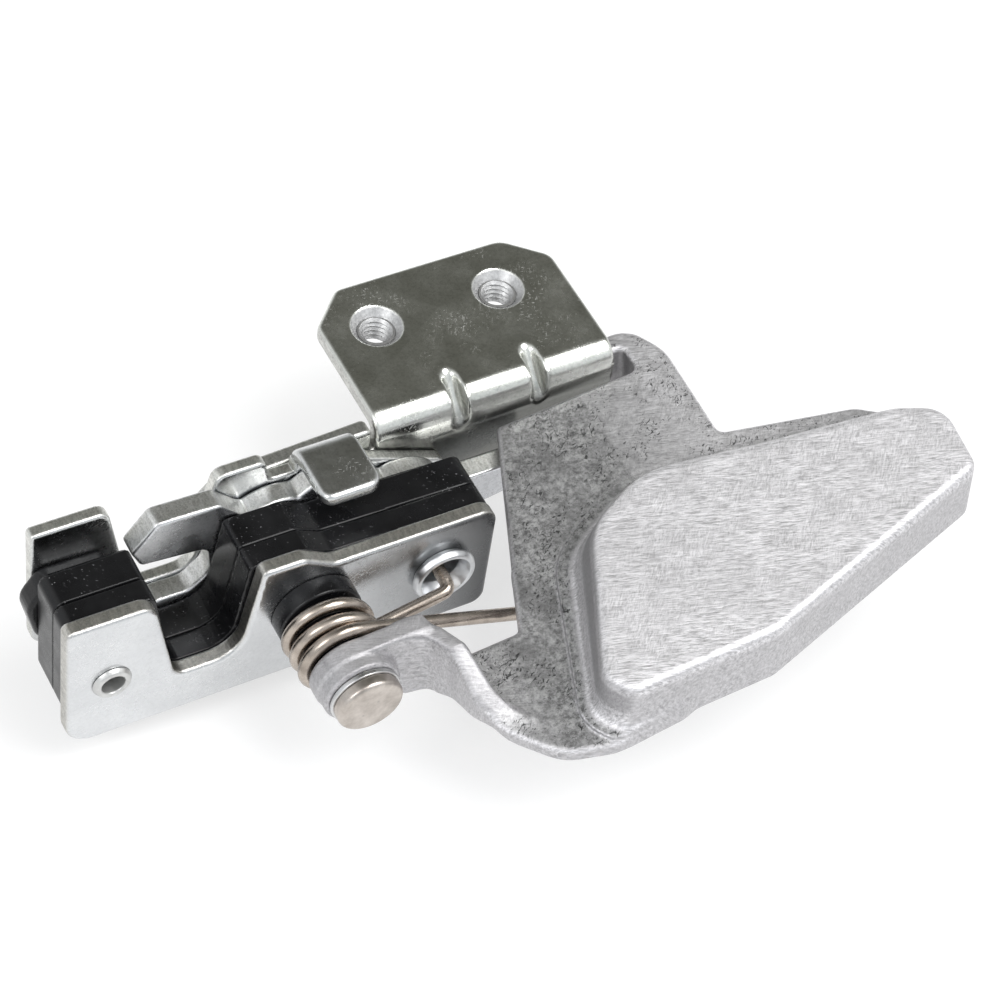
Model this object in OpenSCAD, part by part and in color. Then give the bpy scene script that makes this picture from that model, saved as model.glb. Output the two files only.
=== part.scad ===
// Side-by-side vehicle door latch: rotary fork latch with a cast release handle.
// Lengths in millimetres. X runs along the latch from the striker slot to the paddle,
// Y runs from the front plate to the rear, Z points the way the striker leaves.
// The zero point is midway between the two mounting holes on the face of the tab.

/* [Front plate] */
// thickness of the front sheet
fp_t = 3.0; // [2:0.1:4]
// length of the front sheet
fp_len = 71.5; // [60:0.5:90]
// height left of the striker slot
fp_h = 28.0; // [22:0.1:34]
// height just right of the slot
fp_mid_h = 27.1; // [21:0.1:33]
// height of the right half
fp_low_h = 23.8; // [18:0.1:30]

/* [Striker slot] */
// X of the slot centre at its floor
slot_x = 23.1; // [18:0.1:28]
// height of the slot floor
slot_z = 9.0; // [6:0.1:12]
// slot width at the floor
slot_w = 10.6; // [9:0.1:14]
// slot width at the mouth
slot_mouth = 18.0; // [14:0.1:24]

/* [Housing] */
// depth of the front moulding
hf_t = 4.3; // [3:0.1:6]
// depth of the rear moulding
hr_t = 6.0; // [4:0.1:9]
// height of the moulding left of the slot
hs_h = 26.3; // [20:0.1:32]
// height of the moulding right of the slot
hs_mid_h = 25.6; // [20:0.1:32]
// height of the moulding at the right end
hs_low_h = 22.6; // [16:0.1:28]

/* [Rear sheets] */
// thickness of the back sheet
bp_t = 2.5; // [2:0.1:4]
// height of the ear and of the tongue
bp_h = 30.0; // [24:0.1:36]
// thickness of the mounting bracket
br_t = 3.0; // [2:0.1:4]
// height of the tab face
tab_z = 26.5; // [22:0.1:32]
// left edge of the tab
tab_x0 = 60.3; // [55:0.1:66]
// width of the tab along X
tab_w = 43.0; // [36:0.1:60]
// distance of the tab's far edge behind the wall
tab_d = 29.0; // [22:0.1:40]
// distance between the two mounting holes
hole_pitch = 22.0; // [16:0.1:30]
// core diameter of the tapped mounting holes
hole_d = 5.0; // [4:0.1:6.8]
// countersink diameter
hole_sink = 8.5; // [7:0.1:11]
// height of the drawn collar under each mounting hole
collar_h = 3.2; // [1:0.1:5]
// outer radius of the drawn collar
collar_r = 4.2; // [3.5:0.1:6]

/* [Fork and pawl] */
// thickness of fork and pawl
fork_t = 3.9; // [3:0.1:5]
// axial play of fork and pawl in their layer
fork_play = 0.3; // [0.2:0.05:0.6]
// hub radius of the fork
hub_r = 9.5; // [8:0.1:11]
// tip radius of the locking tooth
tooth_r = 12.5; // [11:0.1:14]
// X of the main pin
pin_x = 40.2; // [36:0.1:46]
// Z of the main pin
pin_z = 15.5; // [12:0.1:18]
// X of the pawl pivot
pawl_x = 62.5; // [58:0.1:66]
// Z of the pawl pivot
pawl_z = 13.2; // [10:0.1:16]

/* [Pins and rivets] */
// main pin radius
pin_r = 4.0; // [3:0.1:5]
// main pin head radius
pin_head_r = 5.4; // [4.8:0.1:8]
// main pin head height
pin_head_h = 2.1; // [1.5:0.1:4]
// wall of the two pivot sleeves
sleeve_w = 1.4; // [1:0.1:2]
// pawl rivet outer radius
prv_r = 4.2; // [3.5:0.1:5]
// pawl rivet bore radius
prv_bore = 3.4; // [2.5:0.1:4]
// left rivet outer radius
lrv_r = 2.5; // [2:0.1:3.5]
// left rivet bore radius
lrv_bore = 1.9; // [1.2:0.1:2.6]
// X of the left rivet
lrv_x = 7.2; // [5:0.1:9]
// Z of the left rivet
lrv_z = 13.5; // [10:0.1:18]

/* [Handle] */
// rise of the handle at rest in degrees
tilt = 7; // [0:0.5:12]
// thickness of the arm and of the rear hook
arm_t = 3.4; // [2.5:0.1:5]
// radius of the eye
eye_r = 6.6; // [6:0.1:10]
// radius of the boss under the pin head
boss_r = 6.3; // [5.8:0.1:8]
// height of the web face above the pin axis
web_z = -1.5; // [-4:0.1:3]
// web thickness
web_t = 3.0; // [2:0.1:5]
// height of the paddle face above the pin axis
pad_z = 8.3; // [5:0.1:14]
// wall of the hollow paddle
pad_wall = 3.0; // [2:0.1:5]

/* [Springs] */
// wire radius of the handle spring
hs_wire = 1.1; // [0.8:0.05:1.5]
// mean coil radius of the handle spring
hs_coil = 6.4; // [6:0.05:7.5]
// spacing of its coils
hs_pitch = 3.0; // [2.4:0.1:4]
// wire radius of the two small springs
ss_wire = 0.6; // [0.4:0.05:0.7]
// mean coil radius of the two small springs
ss_coil = 7.0; // [6.8:0.05:7.2]

/* [Clearances] */
// radial play of turning bores
run_fit = 0.05; // [0.02:0.01:0.1]
// play around fixed pins
pin_fit = 0.04; // [0.02:0.01:0.1]
// gap between moving pieces
gap = 0.4; // [0.3:0.05:1]

/* [Hidden] */
$fn = 64;
y_hf = fp_t;
y_hr = y_hf + hf_t;
y_fk = y_hr + hr_t;
y_bp = y_fk + fork_t + fork_play;
y_br = y_bp + bp_t;
y_wb = y_br + br_t;
y_ra = y_wb + gap + 0.1;
y_end = y_ra + arm_t;
y_fork = y_fk + fork_play / 2;
bush_l = 3.4;
hs_y0 = -bush_l - hs_wire - 0.2;
y_eye = hs_y0 - 2 * hs_pitch - hs_wire - gap;
y_boss = y_eye - arm_t - 2.2;
washer_t = 0.8;
y_head = y_boss - washer_t - 0.12;
bush_r = pin_r + run_fit + 1.0;
room_r = ss_coil + ss_wire + 0.6;
bend_r = br_t + 0.8;
tong_r = bp_t + 1.0;
tong_x0 = 44.8;
tong_x1 = 55.0;
dart_r = 1.25;
dart_x = [tab_x0 + 15, tab_x0 + 29.2];
hole_mid = tab_x0 + 9.1 + hole_pitch / 2;
hole_y = y_br + tab_d - 9.8;
sleeve_r = pin_r + pin_fit + sleeve_w;
psleeve_r = prv_r + pin_fit + sleeve_w;
ss_pitch = 1.5;
eye_dx = ss_coil - 0.05;
eye_dz = 3.4;
long_a = 21;
short_a = 13.5;

// moves the build frame so that the mounting holes lie at zero
module place() {
  translate([-hole_mid, -hole_y, -tab_z]) children();
}
// a sheet standing in the X Z plane from depth y0 to y0 + t
module slab(y0, t) {
  translate([0, y0 + t, 0]) rotate([90, 0, 0]) linear_extrude(height = t) children();
}
// a round bar along Y
module rod(x, z, y0, y1, r, r2 = -1) {
  translate([x, y0, z]) rotate([-90, 0, 0])
    cylinder(h = y1 - y0, r1 = r, r2 = r2 < 0 ? r : r2);
}
// a round wire from a to b
module wire(a, b, r) {
  d = b - a;
  l = norm(d);
  translate(a) rotate([0, acos(d[2] / l), atan2(d[1], d[0])]) cylinder(h = l, r = r, $fn = 24);
}
function unit(v) = v / norm(v);
// points of a polygon with one rounding radius per corner: list of [x, z, r]
function corner(a, p, b, r) = let(
    u = unit(a - p), w = unit(b - p), h = acos(u * w) / 2,
    c = p + unit(u + w) * r / sin(h), s = p + u * r / tan(h), e = p + w * r / tan(h),
    a0 = atan2(s[1] - c[1], s[0] - c[0]), a1 = atan2(e[1] - c[1], e[0] - c[0]),
    d = (a1 - a0 + 900) % 360 - 180, n = max(2, ceil(abs(d) / 15)))
  [for (k = [0:n]) c + r * [cos(a0 + d * k / n), sin(a0 + d * k / n)]];
function rounded(v) = let(n = len(v)) [for (i = [0:n - 1])
  let(p = [v[i][0], v[i][1]], a = v[(i + n - 1) % n], b = v[(i + 1) % n])
  for (q = v[i][2] > 0 ? corner([a[0], a[1]], p, [b[0], b[1]], v[i][2]) : [p]) q];
function polar(r, a) = [pin_x + r * cos(a), pin_z + r * sin(a)];

module hole2(x, z, r) {
  translate([x, z]) circle(r = r);
}

module front_plate() {
  color([0.78, 0.78, 0.80])
  slab(0, fp_t) difference() {
    polygon(rounded([
      [0, 0, 4.5], [fp_len, 0.6, 2.5], [fp_len, fp_low_h, 3], [43.6, fp_low_h, 2],
      [38.4, fp_mid_h, 2], [slot_x + slot_mouth / 2 - 0.6, fp_mid_h, 1.2],
      [slot_x + slot_w / 2, slot_z, 5.4], [slot_x - slot_w / 2, slot_z, 2.2],
      [slot_x - slot_mouth / 2, fp_h, 3], [0, fp_h, 1.2]]));
    hole2(pin_x, pin_z, pin_r + pin_fit);
    hole2(pawl_x, pawl_z, prv_r + pin_fit);
    hole2(lrv_x, lrv_z, lrv_r + pin_fit);
  }
}
module housing_shape() {
  difference() {
    polygon(rounded([
      [0.8, 3, 3], [fp_len, 3, 2], [fp_len, hs_low_h, 2], [44.5, hs_low_h + 0.6, 2],
      [40, hs_mid_h, 2], [slot_x + slot_mouth / 2 - 1.4, hs_mid_h, 1],
      [slot_x + slot_w / 2 - 0.4, slot_z - 0.4, 5], [slot_x - slot_w / 2 + 0.4, slot_z - 0.4, 2],
      [slot_x - slot_mouth / 2 + 1.2, hs_h, 1.5], [0.8, hs_h, 2]]));
    hole2(lrv_x, lrv_z, lrv_r + pin_fit);
  }
}
module housing_front() {
  color([0.06, 0.06, 0.065])
  slab(y_hf, hf_t) difference() {
    housing_shape();
    hole2(pin_x, pin_z, sleeve_r + pin_fit);
    hole2(pawl_x, pawl_z, psleeve_r + pin_fit);
  }
}
module housing_rear() {
  color([0.05, 0.05, 0.055])
  difference() {
    slab(y_hr, hr_t) difference() {
      housing_shape();
      hole2(pin_x, pin_z, sleeve_r + pin_fit);
      hole2(pawl_x, pawl_z, psleeve_r + pin_fit);
    }
    // rooms for the two small springs and their legs
    rod(pin_x, pin_z, y_fk - 4, y_fk + 1, room_r);
    rod(pawl_x, pawl_z, y_fk - 4, y_fk + 1, room_r);
    for (p = [[pin_x, pin_z], [pawl_x, pawl_z]])
      translate([p[0] + eye_dx - 1.2, y_fk - 4, p[1] - eye_dz - 1.2]) cube([2.4, 5, 7.8 + eye_dz]);
  }
}
// fills the fork layer under the ear and carries the ear's load to the housing
module left_spacer() {
  color([0.06, 0.06, 0.065])
  slab(y_fk + 0.02, fork_t + fork_play - 0.04) difference() {
    polygon(rounded([[0.8, 10.6, 2.5], [13, 8, 3], [14.2, 19, 2], [12.6, hs_h - 3.8, 2],
      [2.2, hs_h - 3.5, 3], [-0.9, 18.2, 4]]));
    hole2(lrv_x, lrv_z, lrv_r + pin_fit);
  }
}
module back_plate() {
  color([0.74, 0.74, 0.74]) {
    slab(y_bp, bp_t) difference() {
      polygon(rounded([
        [1.5, 3, 3], [fp_len + 0.5, 2, 3], [fp_len + 0.5, 16, 2.5], [tong_x1 + 1, 23.4, 2],
        [tong_x1 + 0.02, bp_h - tong_r, 0], [tong_x0, bp_h - tong_r, 0],
        [tong_x0 - 0.02, 25.4, 0], [40.6, 25.4, 1.2],
        [39.8, bp_h, 1.5], [31.6, bp_h, 2.2], [29.4, 20, 1],
        [slot_x + slot_w / 2, slot_z + 1, 3.4], [slot_x - slot_w / 2, slot_z + 1, 2.2],
        [14, bp_h, 2], [1.5, bp_h, 0.8]]));
      hole2(pin_x, pin_z, pin_r + pin_fit);
      hole2(pawl_x, pawl_z, prv_r + pin_fit);
      hole2(lrv_x, lrv_z, lrv_r + pin_fit);
    }
    // tongue bent forward over the fork and the housing
    bend_fwd(tong_x0, tong_x1 - tong_x0, y_bp + bp_t, bp_h, bp_t, tong_r);
    translate([tong_x0, 7.4, bp_h - bp_t]) linear_extrude(height = bp_t)
      polygon(rounded([[0, 0, 2], [tong_x1 - tong_x0, 0, 2.5],
        [tong_x1 - tong_x0, y_bp + bp_t - tong_r - 7.4, 0], [0, y_bp + bp_t - tong_r - 7.4, 0]]));
  }
}
// quarter bend of a sheet that turns forward at its top; y1 is the rear face
module bend_fwd(x0, w, y1, z1, t, r) {
  translate([x0, y1 - r, z1 - r]) rotate([90, 0, 90]) rotate_extrude(angle = 90, $fn = 64)
    translate([r - t, 0]) square([t, w]);
}
// quarter bend of a sheet that turns rearward at its top; y0 is the front face
module bend_back(x0, w, y0, z1, t, r) {
  translate([x0, y0 + r, z1 - r]) rotate([90, 0, 90]) rotate([0, 0, 90])
    rotate_extrude(angle = 90, $fn = 64) translate([r - t, 0]) square([t, w]);
}
module tab_hole(x) {
  translate([x, hole_y, tab_z - br_t - collar_h - 1])
    cylinder(h = br_t + collar_h + 2, r = hole_d / 2);
  translate([x, hole_y, tab_z - (hole_sink - hole_d) / 2])
    cylinder(h = (hole_sink - hole_d) / 2 + 0.01, r1 = hole_d / 2, r2 = hole_sink / 2 + 0.01);
}
// collar drawn out of the tab for the thread
module collar(x) {
  translate([x, hole_y, tab_z - br_t - collar_h]) cylinder(h = collar_h + 0.5, r = collar_r);
}
// groove with a round floor pressed across the bend at 45 degrees
module dart(x) {
  translate([x, y_br + 2.48, tab_z - 2.48]) rotate([-45, 0, 0]) {
    cylinder(h = 20, r = dart_r, center = true);
    translate([-dart_r, -6, -10]) cube([2 * dart_r, 6, 20]);
  }
}
module tab_bracket() {
  color([0.55, 0.55, 0.52]) {
    difference() {
      union() {
        slab(y_br, br_t) difference() {
          polygon(rounded([
            [30, 3, 4], [66, 3, 4], [80, 8, 4], [tab_x0 + tab_w, 12, 4],
            [tab_x0 + tab_w, tab_z - bend_r, 0], [tab_x0, tab_z - bend_r, 0],
            [tab_x0 - 0.02, 20.9, 0.3], [59.4, 20.9, 0.3], [59.4, 26.0, 1.2], [34, 24.6, 4],
            [30, 20, 4]]));
          hole2(pin_x, pin_z, pin_r + pin_fit);
          hole2(pawl_x, pawl_z, prv_r + pin_fit);
        }
        bend_back(tab_x0, tab_w, y_br, tab_z, br_t, bend_r);
        translate([tab_x0, y_br + bend_r, tab_z - br_t]) linear_extrude(height = br_t)
          polygon(rounded([[0, 0, 0], [tab_w, 0, 0], [tab_w, tab_d - bend_r - 6, 3],
            [tab_w - 6.6, tab_d - bend_r, 4], [6.3, tab_d - bend_r, 2.5],
            [0, tab_d - bend_r - 6.5, 2.5]]));
        collar(hole_mid - hole_pitch / 2);
        collar(hole_mid + hole_pitch / 2);
      }
      tab_hole(hole_mid - hole_pitch / 2);
      tab_hole(hole_mid + hole_pitch / 2);
      for (x = dart_x)
        dart(x);
      // countersink for the peened pin end
      rod(pin_x, pin_z, y_wb - 1.2, y_wb + 0.02, pin_r + pin_fit, pin_r + pin_fit + 1.22);
    }
    // inner ribs raised by the pressed darts
    for (x = dart_x)
      translate([x - dart_r - 0.3, y_wb - 0.3, tab_z - br_t + 0.3]) rotate([90, 0, 90])
        linear_extrude(height = 2 * dart_r + 0.6) polygon([[0, -4.4], [4.4, 0], [0, 0]]);
  }
}
module fork() {
  color([0.80, 0.80, 0.78])
  difference() {
    union() {
      rod(pin_x, pin_z, y_fork, y_fork + fork_t, hub_r);
      slab(y_fork, fork_t) polygon(rounded([
        [17.6, 20.2, 1.2], [28.8, 19.0, 2], [29.4, 13.2, 3], [25.8, 9.9, 2.8], [18.8, 10.0, 1.5],
        [20.4, 4.6, 2], [36, 5.6, 3], [42, 12, 0], [42, 19, 0], [34.2, 24.6, 1.5],
        [30.4, 28.6, 1.5], [20.0, 29.0, 1.5], [16.0, 23.6, 1]]));
      slab(y_fork, fork_t) polygon([polar(7, 50), polar(8, 46), polar(tooth_r, 46),
        polar(tooth_r, 54), polar(tooth_r, 60), polar(8, 76), polar(7, 70)]);
    }
    rod(pin_x, pin_z, y_fk - 1, y_bp + 1, sleeve_r + run_fit);
    // eye for the spring end
    rod(pin_x + eye_dx, pin_z - eye_dz, y_fk - 1, y_bp + 1, ss_wire + 0.3);
  }
}
module pawl() {
  color([0.62, 0.62, 0.60])
  difference() {
    union() {
      rod(pawl_x, pawl_z, y_fork, y_fork + fork_t, 7.8);
      slab(y_fork, fork_t) polygon(rounded([
        [pin_x + 10.7, pin_z + 3.9, 0.8], [pin_x + 13.4, pin_z + 0.4, 2],
        [pin_x + 15.2, pin_z - 4.4, 2], [pawl_x - 3, pawl_z - 5, 0], [pawl_x, pawl_z + 3, 0],
        [pin_x + 18.5, pin_z + 5.4, 3], [pin_x + 12.5, pin_z + 9.0, 1.5],
        [pin_x + 9.4, pin_z + 6.3, 0.4]]));
      slab(y_fork, fork_t) polygon(rounded([
        [pawl_x, 6.2, 0], [72, 6.2, 3], [88, 9.8, 1.2], [88, 15, 1.2], [pawl_x, 15, 0]]));
    }
    rod(pawl_x, pawl_z, y_fk - 1, y_bp + 1, psleeve_r + run_fit);
    // eye for the spring end
    rod(pawl_x + eye_dx, pawl_z - eye_dz, y_fk - 1, y_bp + 1, ss_wire + 0.3);
  }
}
module tube(x, z, y0, y1, r, bore) {
  difference() {
    rod(x, z, y0, y1, r);
    rod(x, z, y0 - 1, y1 + 1, bore);
  }
}
module fork_sleeve() {
  color([0.70, 0.70, 0.70])
  tube(pin_x, pin_z, y_hf + 0.02, y_bp - 0.02, sleeve_r, pin_r + pin_fit);
}
module pawl_sleeve() {
  color([0.70, 0.70, 0.70])
  tube(pawl_x, pawl_z, y_hf + 0.02, y_bp - 0.02, psleeve_r, prv_r + pin_fit);
}
// two turns of wire around Y: flat half rings joined by tilted half rings
module coil(x, z, y0, r, w, pitch, turns) {
  translate([x, y0, z]) rotate([-90, 0, 0]) for (k = [0:turns - 1]) translate([0, 0, k * pitch]) {
    rotate_extrude(angle = 180, $fn = 48) translate([r, 0]) circle(r = w, $fn = 20);
    translate([-r, 0, 0]) rotate([0, -asin(pitch / (2 * r)), 0]) translate([r, 0, 0])
      rotate([0, 0, 180]) rotate_extrude(angle = 180, $fn = 48) translate([r, 0])
        circle(r = w, $fn = 20);
  }
}
// small return spring: one leg stands in a slot of the housing, the other hooks into an eye
module return_spring(x, z) {
  y0 = y_fk - 3.2;
  y1 = y0 + ss_pitch;
  coil(x, z, y0, ss_coil, ss_wire, ss_pitch, 1);
  wire([x + eye_dx, y0, z - 0.4], [x + eye_dx, y0, z + 5.8], ss_wire);
  wire([x + eye_dx, y1, z + 0.4], [x + eye_dx, y1, z - eye_dz], ss_wire);
  wire([x + eye_dx, y1 - 0.3, z - eye_dz], [x + eye_dx, y_fk + 3, z - eye_dz], ss_wire);
}
module fork_spring() {
  color([0.45, 0.42, 0.38]) return_spring(pin_x, pin_z);
}
module pawl_spring() {
  color([0.45, 0.42, 0.38]) return_spring(pawl_x, pawl_z);
}
module left_rivet() {
  color([0.80, 0.80, 0.80])
  difference() {
    union() {
      rod(lrv_x, lrv_z, -0.1, y_br + 0.1, lrv_r);
      rod(lrv_x, lrv_z, -0.9, -0.02, lrv_r - 0.1, 3.3);
      rod(lrv_x, lrv_z, y_br + 0.02, y_br + 0.9, 3.3, lrv_r - 0.1);
    }
    rod(lrv_x, lrv_z, -2, y_br + 2, lrv_bore);
  }
}
module pawl_rivet() {
  color([0.78, 0.78, 0.78])
  difference() {
    union() {
      rod(pawl_x, pawl_z, -0.1, y_wb + 0.1, prv_r);
      rod(pawl_x, pawl_z, -1.9, -0.02, prv_r + 0.2, 5.4);
      rod(pawl_x, pawl_z, y_wb + 0.02, y_wb + 0.4, 5.4, prv_r + 0.6);
    }
    rod(pawl_x, pawl_z, -4, y_wb + 4, prv_bore);
  }
}
module main_pin() {
  color([0.80, 0.78, 0.76]) {
    rod(pin_x, pin_z, y_head - 0.1, y_wb, pin_r);
    rod(pin_x, pin_z, y_head - pin_head_h + 0.6, y_head, pin_head_r);
    rod(pin_x, pin_z, y_head - pin_head_h, y_head - pin_head_h + 0.6, pin_head_r - 0.7, pin_head_r);
    // rear end peened into the bracket
    rod(pin_x, pin_z, y_wb - 1.2, y_wb, pin_r, pin_r + 1.2);
  }
}
// bush that carries the coils and keeps the eye off the front sheet
module spool() {
  color([0.05, 0.05, 0.05])
  difference() {
    union() {
      rod(pin_x, pin_z, -bush_l, -0.03, 6.9);
      rod(pin_x, pin_z, y_eye + 0.3, -0.03, hs_coil - hs_wire - 0.25);
    }
    rod(pin_x, pin_z, y_eye - 1, 1, pin_r + pin_fit);
  }
}
// part of a wire ring around Y at depth y, from angle a0 over span degrees, X towards Z
module arc(y, a0, span, r, w) {
  translate([pin_x, y, pin_z]) rotate([90, 0, 0]) rotate([0, 0, a0])
    rotate_extrude(angle = span, $fn = 48) translate([r, 0]) circle(r = w, $fn = 20);
}
// half ring over the top that climbs one pitch from its left to its right end
module climb(y, r, w, pitch) {
  translate([pin_x - r, y, pin_z]) rotate([0, 0, -asin(pitch / (2 * r))]) translate([r, 0, 0])
    rotate([90, 0, 0]) rotate_extrude(angle = 180, $fn = 48) translate([r, 0]) circle(r = w, $fn = 20);
}
module handle_spring() {
  yb = hs_y0 - 2 * hs_pitch;
  s0 = [pin_x + hs_coil * sin(short_a), hs_y0, pin_z - hs_coil * cos(short_a)];
  sd = [cos(short_a), 0, sin(short_a)];
  s1 = s0 + 20.6 * sd;
  l0 = [pin_x + hs_coil * sin(long_a), yb, pin_z + hs_coil * cos(long_a)];
  ld = [cos(long_a), 0, -sin(long_a)];
  color([0.50, 0.44, 0.38]) {
    arc(hs_y0, 180, 90 + short_a, hs_coil, hs_wire);
    climb(hs_y0, hs_coil, hs_wire, hs_pitch);
    arc(hs_y0 - hs_pitch, 180, 180, hs_coil, hs_wire);
    climb(hs_y0 - hs_pitch, hs_coil, hs_wire, hs_pitch);
    arc(yb, 90 - long_a, 270 + long_a, hs_coil, hs_wire);
    wire(s0 - 0.3 * sd, s1, hs_wire - 0.02);
    wire(s1 - [0, 0.6, 0], s1 + [0, 6.5, 0], hs_wire - 0.04);
    wire(l0 - 0.3 * ld, l0 + 31.5 * ld, hs_wire - 0.02);
  }
}

// handle frame: origin on the pin axis, turned up by the rest angle
module on_handle() {
  translate([pin_x, 0, pin_z]) rotate([0, -tilt, 0]) children();
}
module web_plan() {
  polygon(rounded([
    [13.6, -22, 3], [16.2, -33, 8], [22, -40.2, 8], [30, -42.8, 6], [57.6, -41.5, 4], [100.6, -29, 3],
    [102.1, -17, 2], [99.4, -8, 2], [94, -4.2, 4], [72.3, 1.4, 1.5], [72.9, 20, 7], [69.5, y_end, 5],
    [60, y_end, 0], [60, y_ra, 0], [66.9, y_ra, 1], [66.9, 18.5, 1.6], [41.2, 18.5, 0.8],
    [26.2, -17.8, 1.2], [14.4, -17.8, 0]]));
}
module pad_top() {
  polygon(rounded([
    [42, -11.4, 12], [30.0, -36.6, 4], [33.2, -40.9, 2.5], [57.6, -41.2, 6], [100.5, -28.8, 3],
    [102.1, -16.4, 5], [95.2, -13.1, 8], [72.4, -9.4, 16], [54, -5.6, 14]]));
}
module pad_base() {
  polygon(rounded([
    [38.4, -9.8, 12], [28.6, -36.8, 5], [31.6, -41.3, 3], [57.6, -41.5, 6], [100.6, -28.9, 3],
    [102.2, -16.4, 5], [94.6, -8.2, 8], [72.4, -4.4, 14], [52, -1.8, 12]]));
}
module flat_at(z0, h) {
  translate([0, 0, z0]) linear_extrude(height = h) children();
}
module paddle_solid() {
  hull() {
    flat_at(pad_z - 0.5, 0.5) pad_top();
    flat_at(web_z - web_t, 0.5) pad_base();
  }
}
module front_arm() {
  slab(y_eye - arm_t, arm_t) polygon(rounded([
    [0, -eye_r, 0], [8, -9, 2], [12.4, -9, 0], [12.4, 5.6, 0], [9, 6.1, 3], [-1.2, eye_r - 0.15, 0]]));
  rod(0, 0, y_eye - arm_t, y_eye, eye_r);
  rod(0, 0, y_boss, y_eye - arm_t + 0.1, boss_r);
  // rail that turns forward from the arm and runs down into the web
  difference() {
    flat_at(-9, 14.6) polygon(rounded([
      [8, y_eye - arm_t, 0], [11.4, y_eye - arm_t - 1.2, 3], [13.2, -20.6, 4], [13.6, -27, 6],
      [16.2, -33, 6], [20.6, -38.2, 0], [23.6, -36.4, 0], [20, -32, 6], [17.4, -27, 6],
      [16.2, -20, 5], [14.2, y_eye - arm_t, 3], [11.4, y_eye, 2.5], [8, y_eye, 0]]));
    translate([0, -20, 5.6]) rotate([32, 0, 0]) translate([0, -40, 0]) cube([60, 40, 20]);
    translate([0, -18, -9]) rotate([-27, 0, 0]) translate([0, -40, -20]) cube([60, 40, 20]);
  }
}
module handle() {
  color([0.62, 0.62, 0.62]) on_handle() {
    difference() {
      union() {
        flat_at(web_z - web_t, web_t) web_plan();
        paddle_solid();
        front_arm();
        // rib under the left edge that takes the spring leg
        flat_at(-6.9, 6.9 + web_z - 0.5) polygon([[28.0, -15], [31, -15], [33, -7.4], [30.6, -7.4]]);
        // skirt of the lobe around the end of the bracket
        flat_at(-11, 11 + web_z - 0.5) polygon(rounded([[66.9, 6, 0], [72.3, 6, 0], [72.7, 20, 7],
          [69.4, y_end, 5], [60, y_end, 0], [60, y_ra, 0], [66.9, y_ra, 1]]));
      }
      // hollow under the paddle
      hull() {
        flat_at(pad_z - pad_wall - 0.5, 0.5) offset(delta = -pad_wall - 1.5) pad_top();
        flat_at(web_z - web_t - 0.1, 0.5) offset(delta = -pad_wall) pad_top();
      }
      rod(0, 0, y_boss - 1, y_eye + 1, bush_r);
    }
  }
}
module eye_bush() {
  color([0.60, 0.55, 0.45]) on_handle()
  tube(0, 0, y_boss + 0.02, y_eye - 0.02, bush_r - 0.01, pin_r + run_fit);
}
// between the pin head and the boss of the handle
module thrust_washer() {
  color([0.66, 0.65, 0.62])
  tube(pin_x, pin_z, y_head + 0.02, y_boss - 0.1, pin_head_r + 0.3, pin_r + pin_fit);
}

place() front_plate();
place() housing_front();
place() housing_rear();
place() back_plate();
place() tab_bracket();
place() left_spacer();
place() fork();
place() fork_sleeve();
place() fork_spring();
place() pawl();
place() pawl_sleeve();
place() pawl_spring();
place() left_rivet();
place() pawl_rivet();
place() main_pin();
place() spool();
place() handle_spring();
place() handle();
place() eye_bush();
place() thrust_washer();
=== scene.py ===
"""Looks of a rotary door latch: sheet plates, a black moulded block, a cast paddle handle and its springs."""
import math

import bpy
import numpy as np
from mathutils import Matrix, Vector


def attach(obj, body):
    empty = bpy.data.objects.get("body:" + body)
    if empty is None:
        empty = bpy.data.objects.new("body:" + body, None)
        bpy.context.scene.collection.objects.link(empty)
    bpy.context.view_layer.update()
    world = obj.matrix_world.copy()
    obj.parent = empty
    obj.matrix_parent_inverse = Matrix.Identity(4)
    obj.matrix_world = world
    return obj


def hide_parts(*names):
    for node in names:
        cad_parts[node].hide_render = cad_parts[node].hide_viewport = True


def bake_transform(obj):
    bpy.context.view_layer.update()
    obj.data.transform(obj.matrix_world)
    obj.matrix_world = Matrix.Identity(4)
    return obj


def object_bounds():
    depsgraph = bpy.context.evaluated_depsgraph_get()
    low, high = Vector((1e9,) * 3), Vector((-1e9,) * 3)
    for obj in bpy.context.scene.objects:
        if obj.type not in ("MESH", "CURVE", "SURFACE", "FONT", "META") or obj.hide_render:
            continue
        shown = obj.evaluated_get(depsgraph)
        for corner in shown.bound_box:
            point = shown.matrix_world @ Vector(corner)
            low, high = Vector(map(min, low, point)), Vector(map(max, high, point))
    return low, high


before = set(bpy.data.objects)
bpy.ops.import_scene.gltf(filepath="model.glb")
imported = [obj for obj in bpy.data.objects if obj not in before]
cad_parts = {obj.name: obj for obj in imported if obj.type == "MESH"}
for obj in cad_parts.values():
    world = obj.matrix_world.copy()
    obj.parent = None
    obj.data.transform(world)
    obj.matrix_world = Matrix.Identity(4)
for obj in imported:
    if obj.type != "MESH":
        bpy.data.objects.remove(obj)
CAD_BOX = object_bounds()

# Latch frame in millimetres: X along the latch, Y to the rear, Z up, zero at the front plate's corner.
MM = 0.001
# edges of turned pieces and wires that bend more than this stay sharp
SHARP_ANGLE = math.radians(40)
# layers in Y
FRONT = (0.0, 3.0)
BLOCK_FRONT = (3.02, 7.28)
BLOCK_REAR = (7.32, 13.28)
FORK_LAYER = (13.45, 17.35)
SPACER_LAYER = (13.32, 17.48)
BACK = (17.5, 20.0)
WALL = (20.0, 23.0)
# pivots in X Z and their radii
PIN = (40.2, 15.5)
PIN_R = 4.0
PAWL = (62.5, 13.2)
PAWL_RIVET_R = 4.2
LEFT_RIVET = (7.2, 13.5)
LEFT_RIVET_R = 2.5
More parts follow.
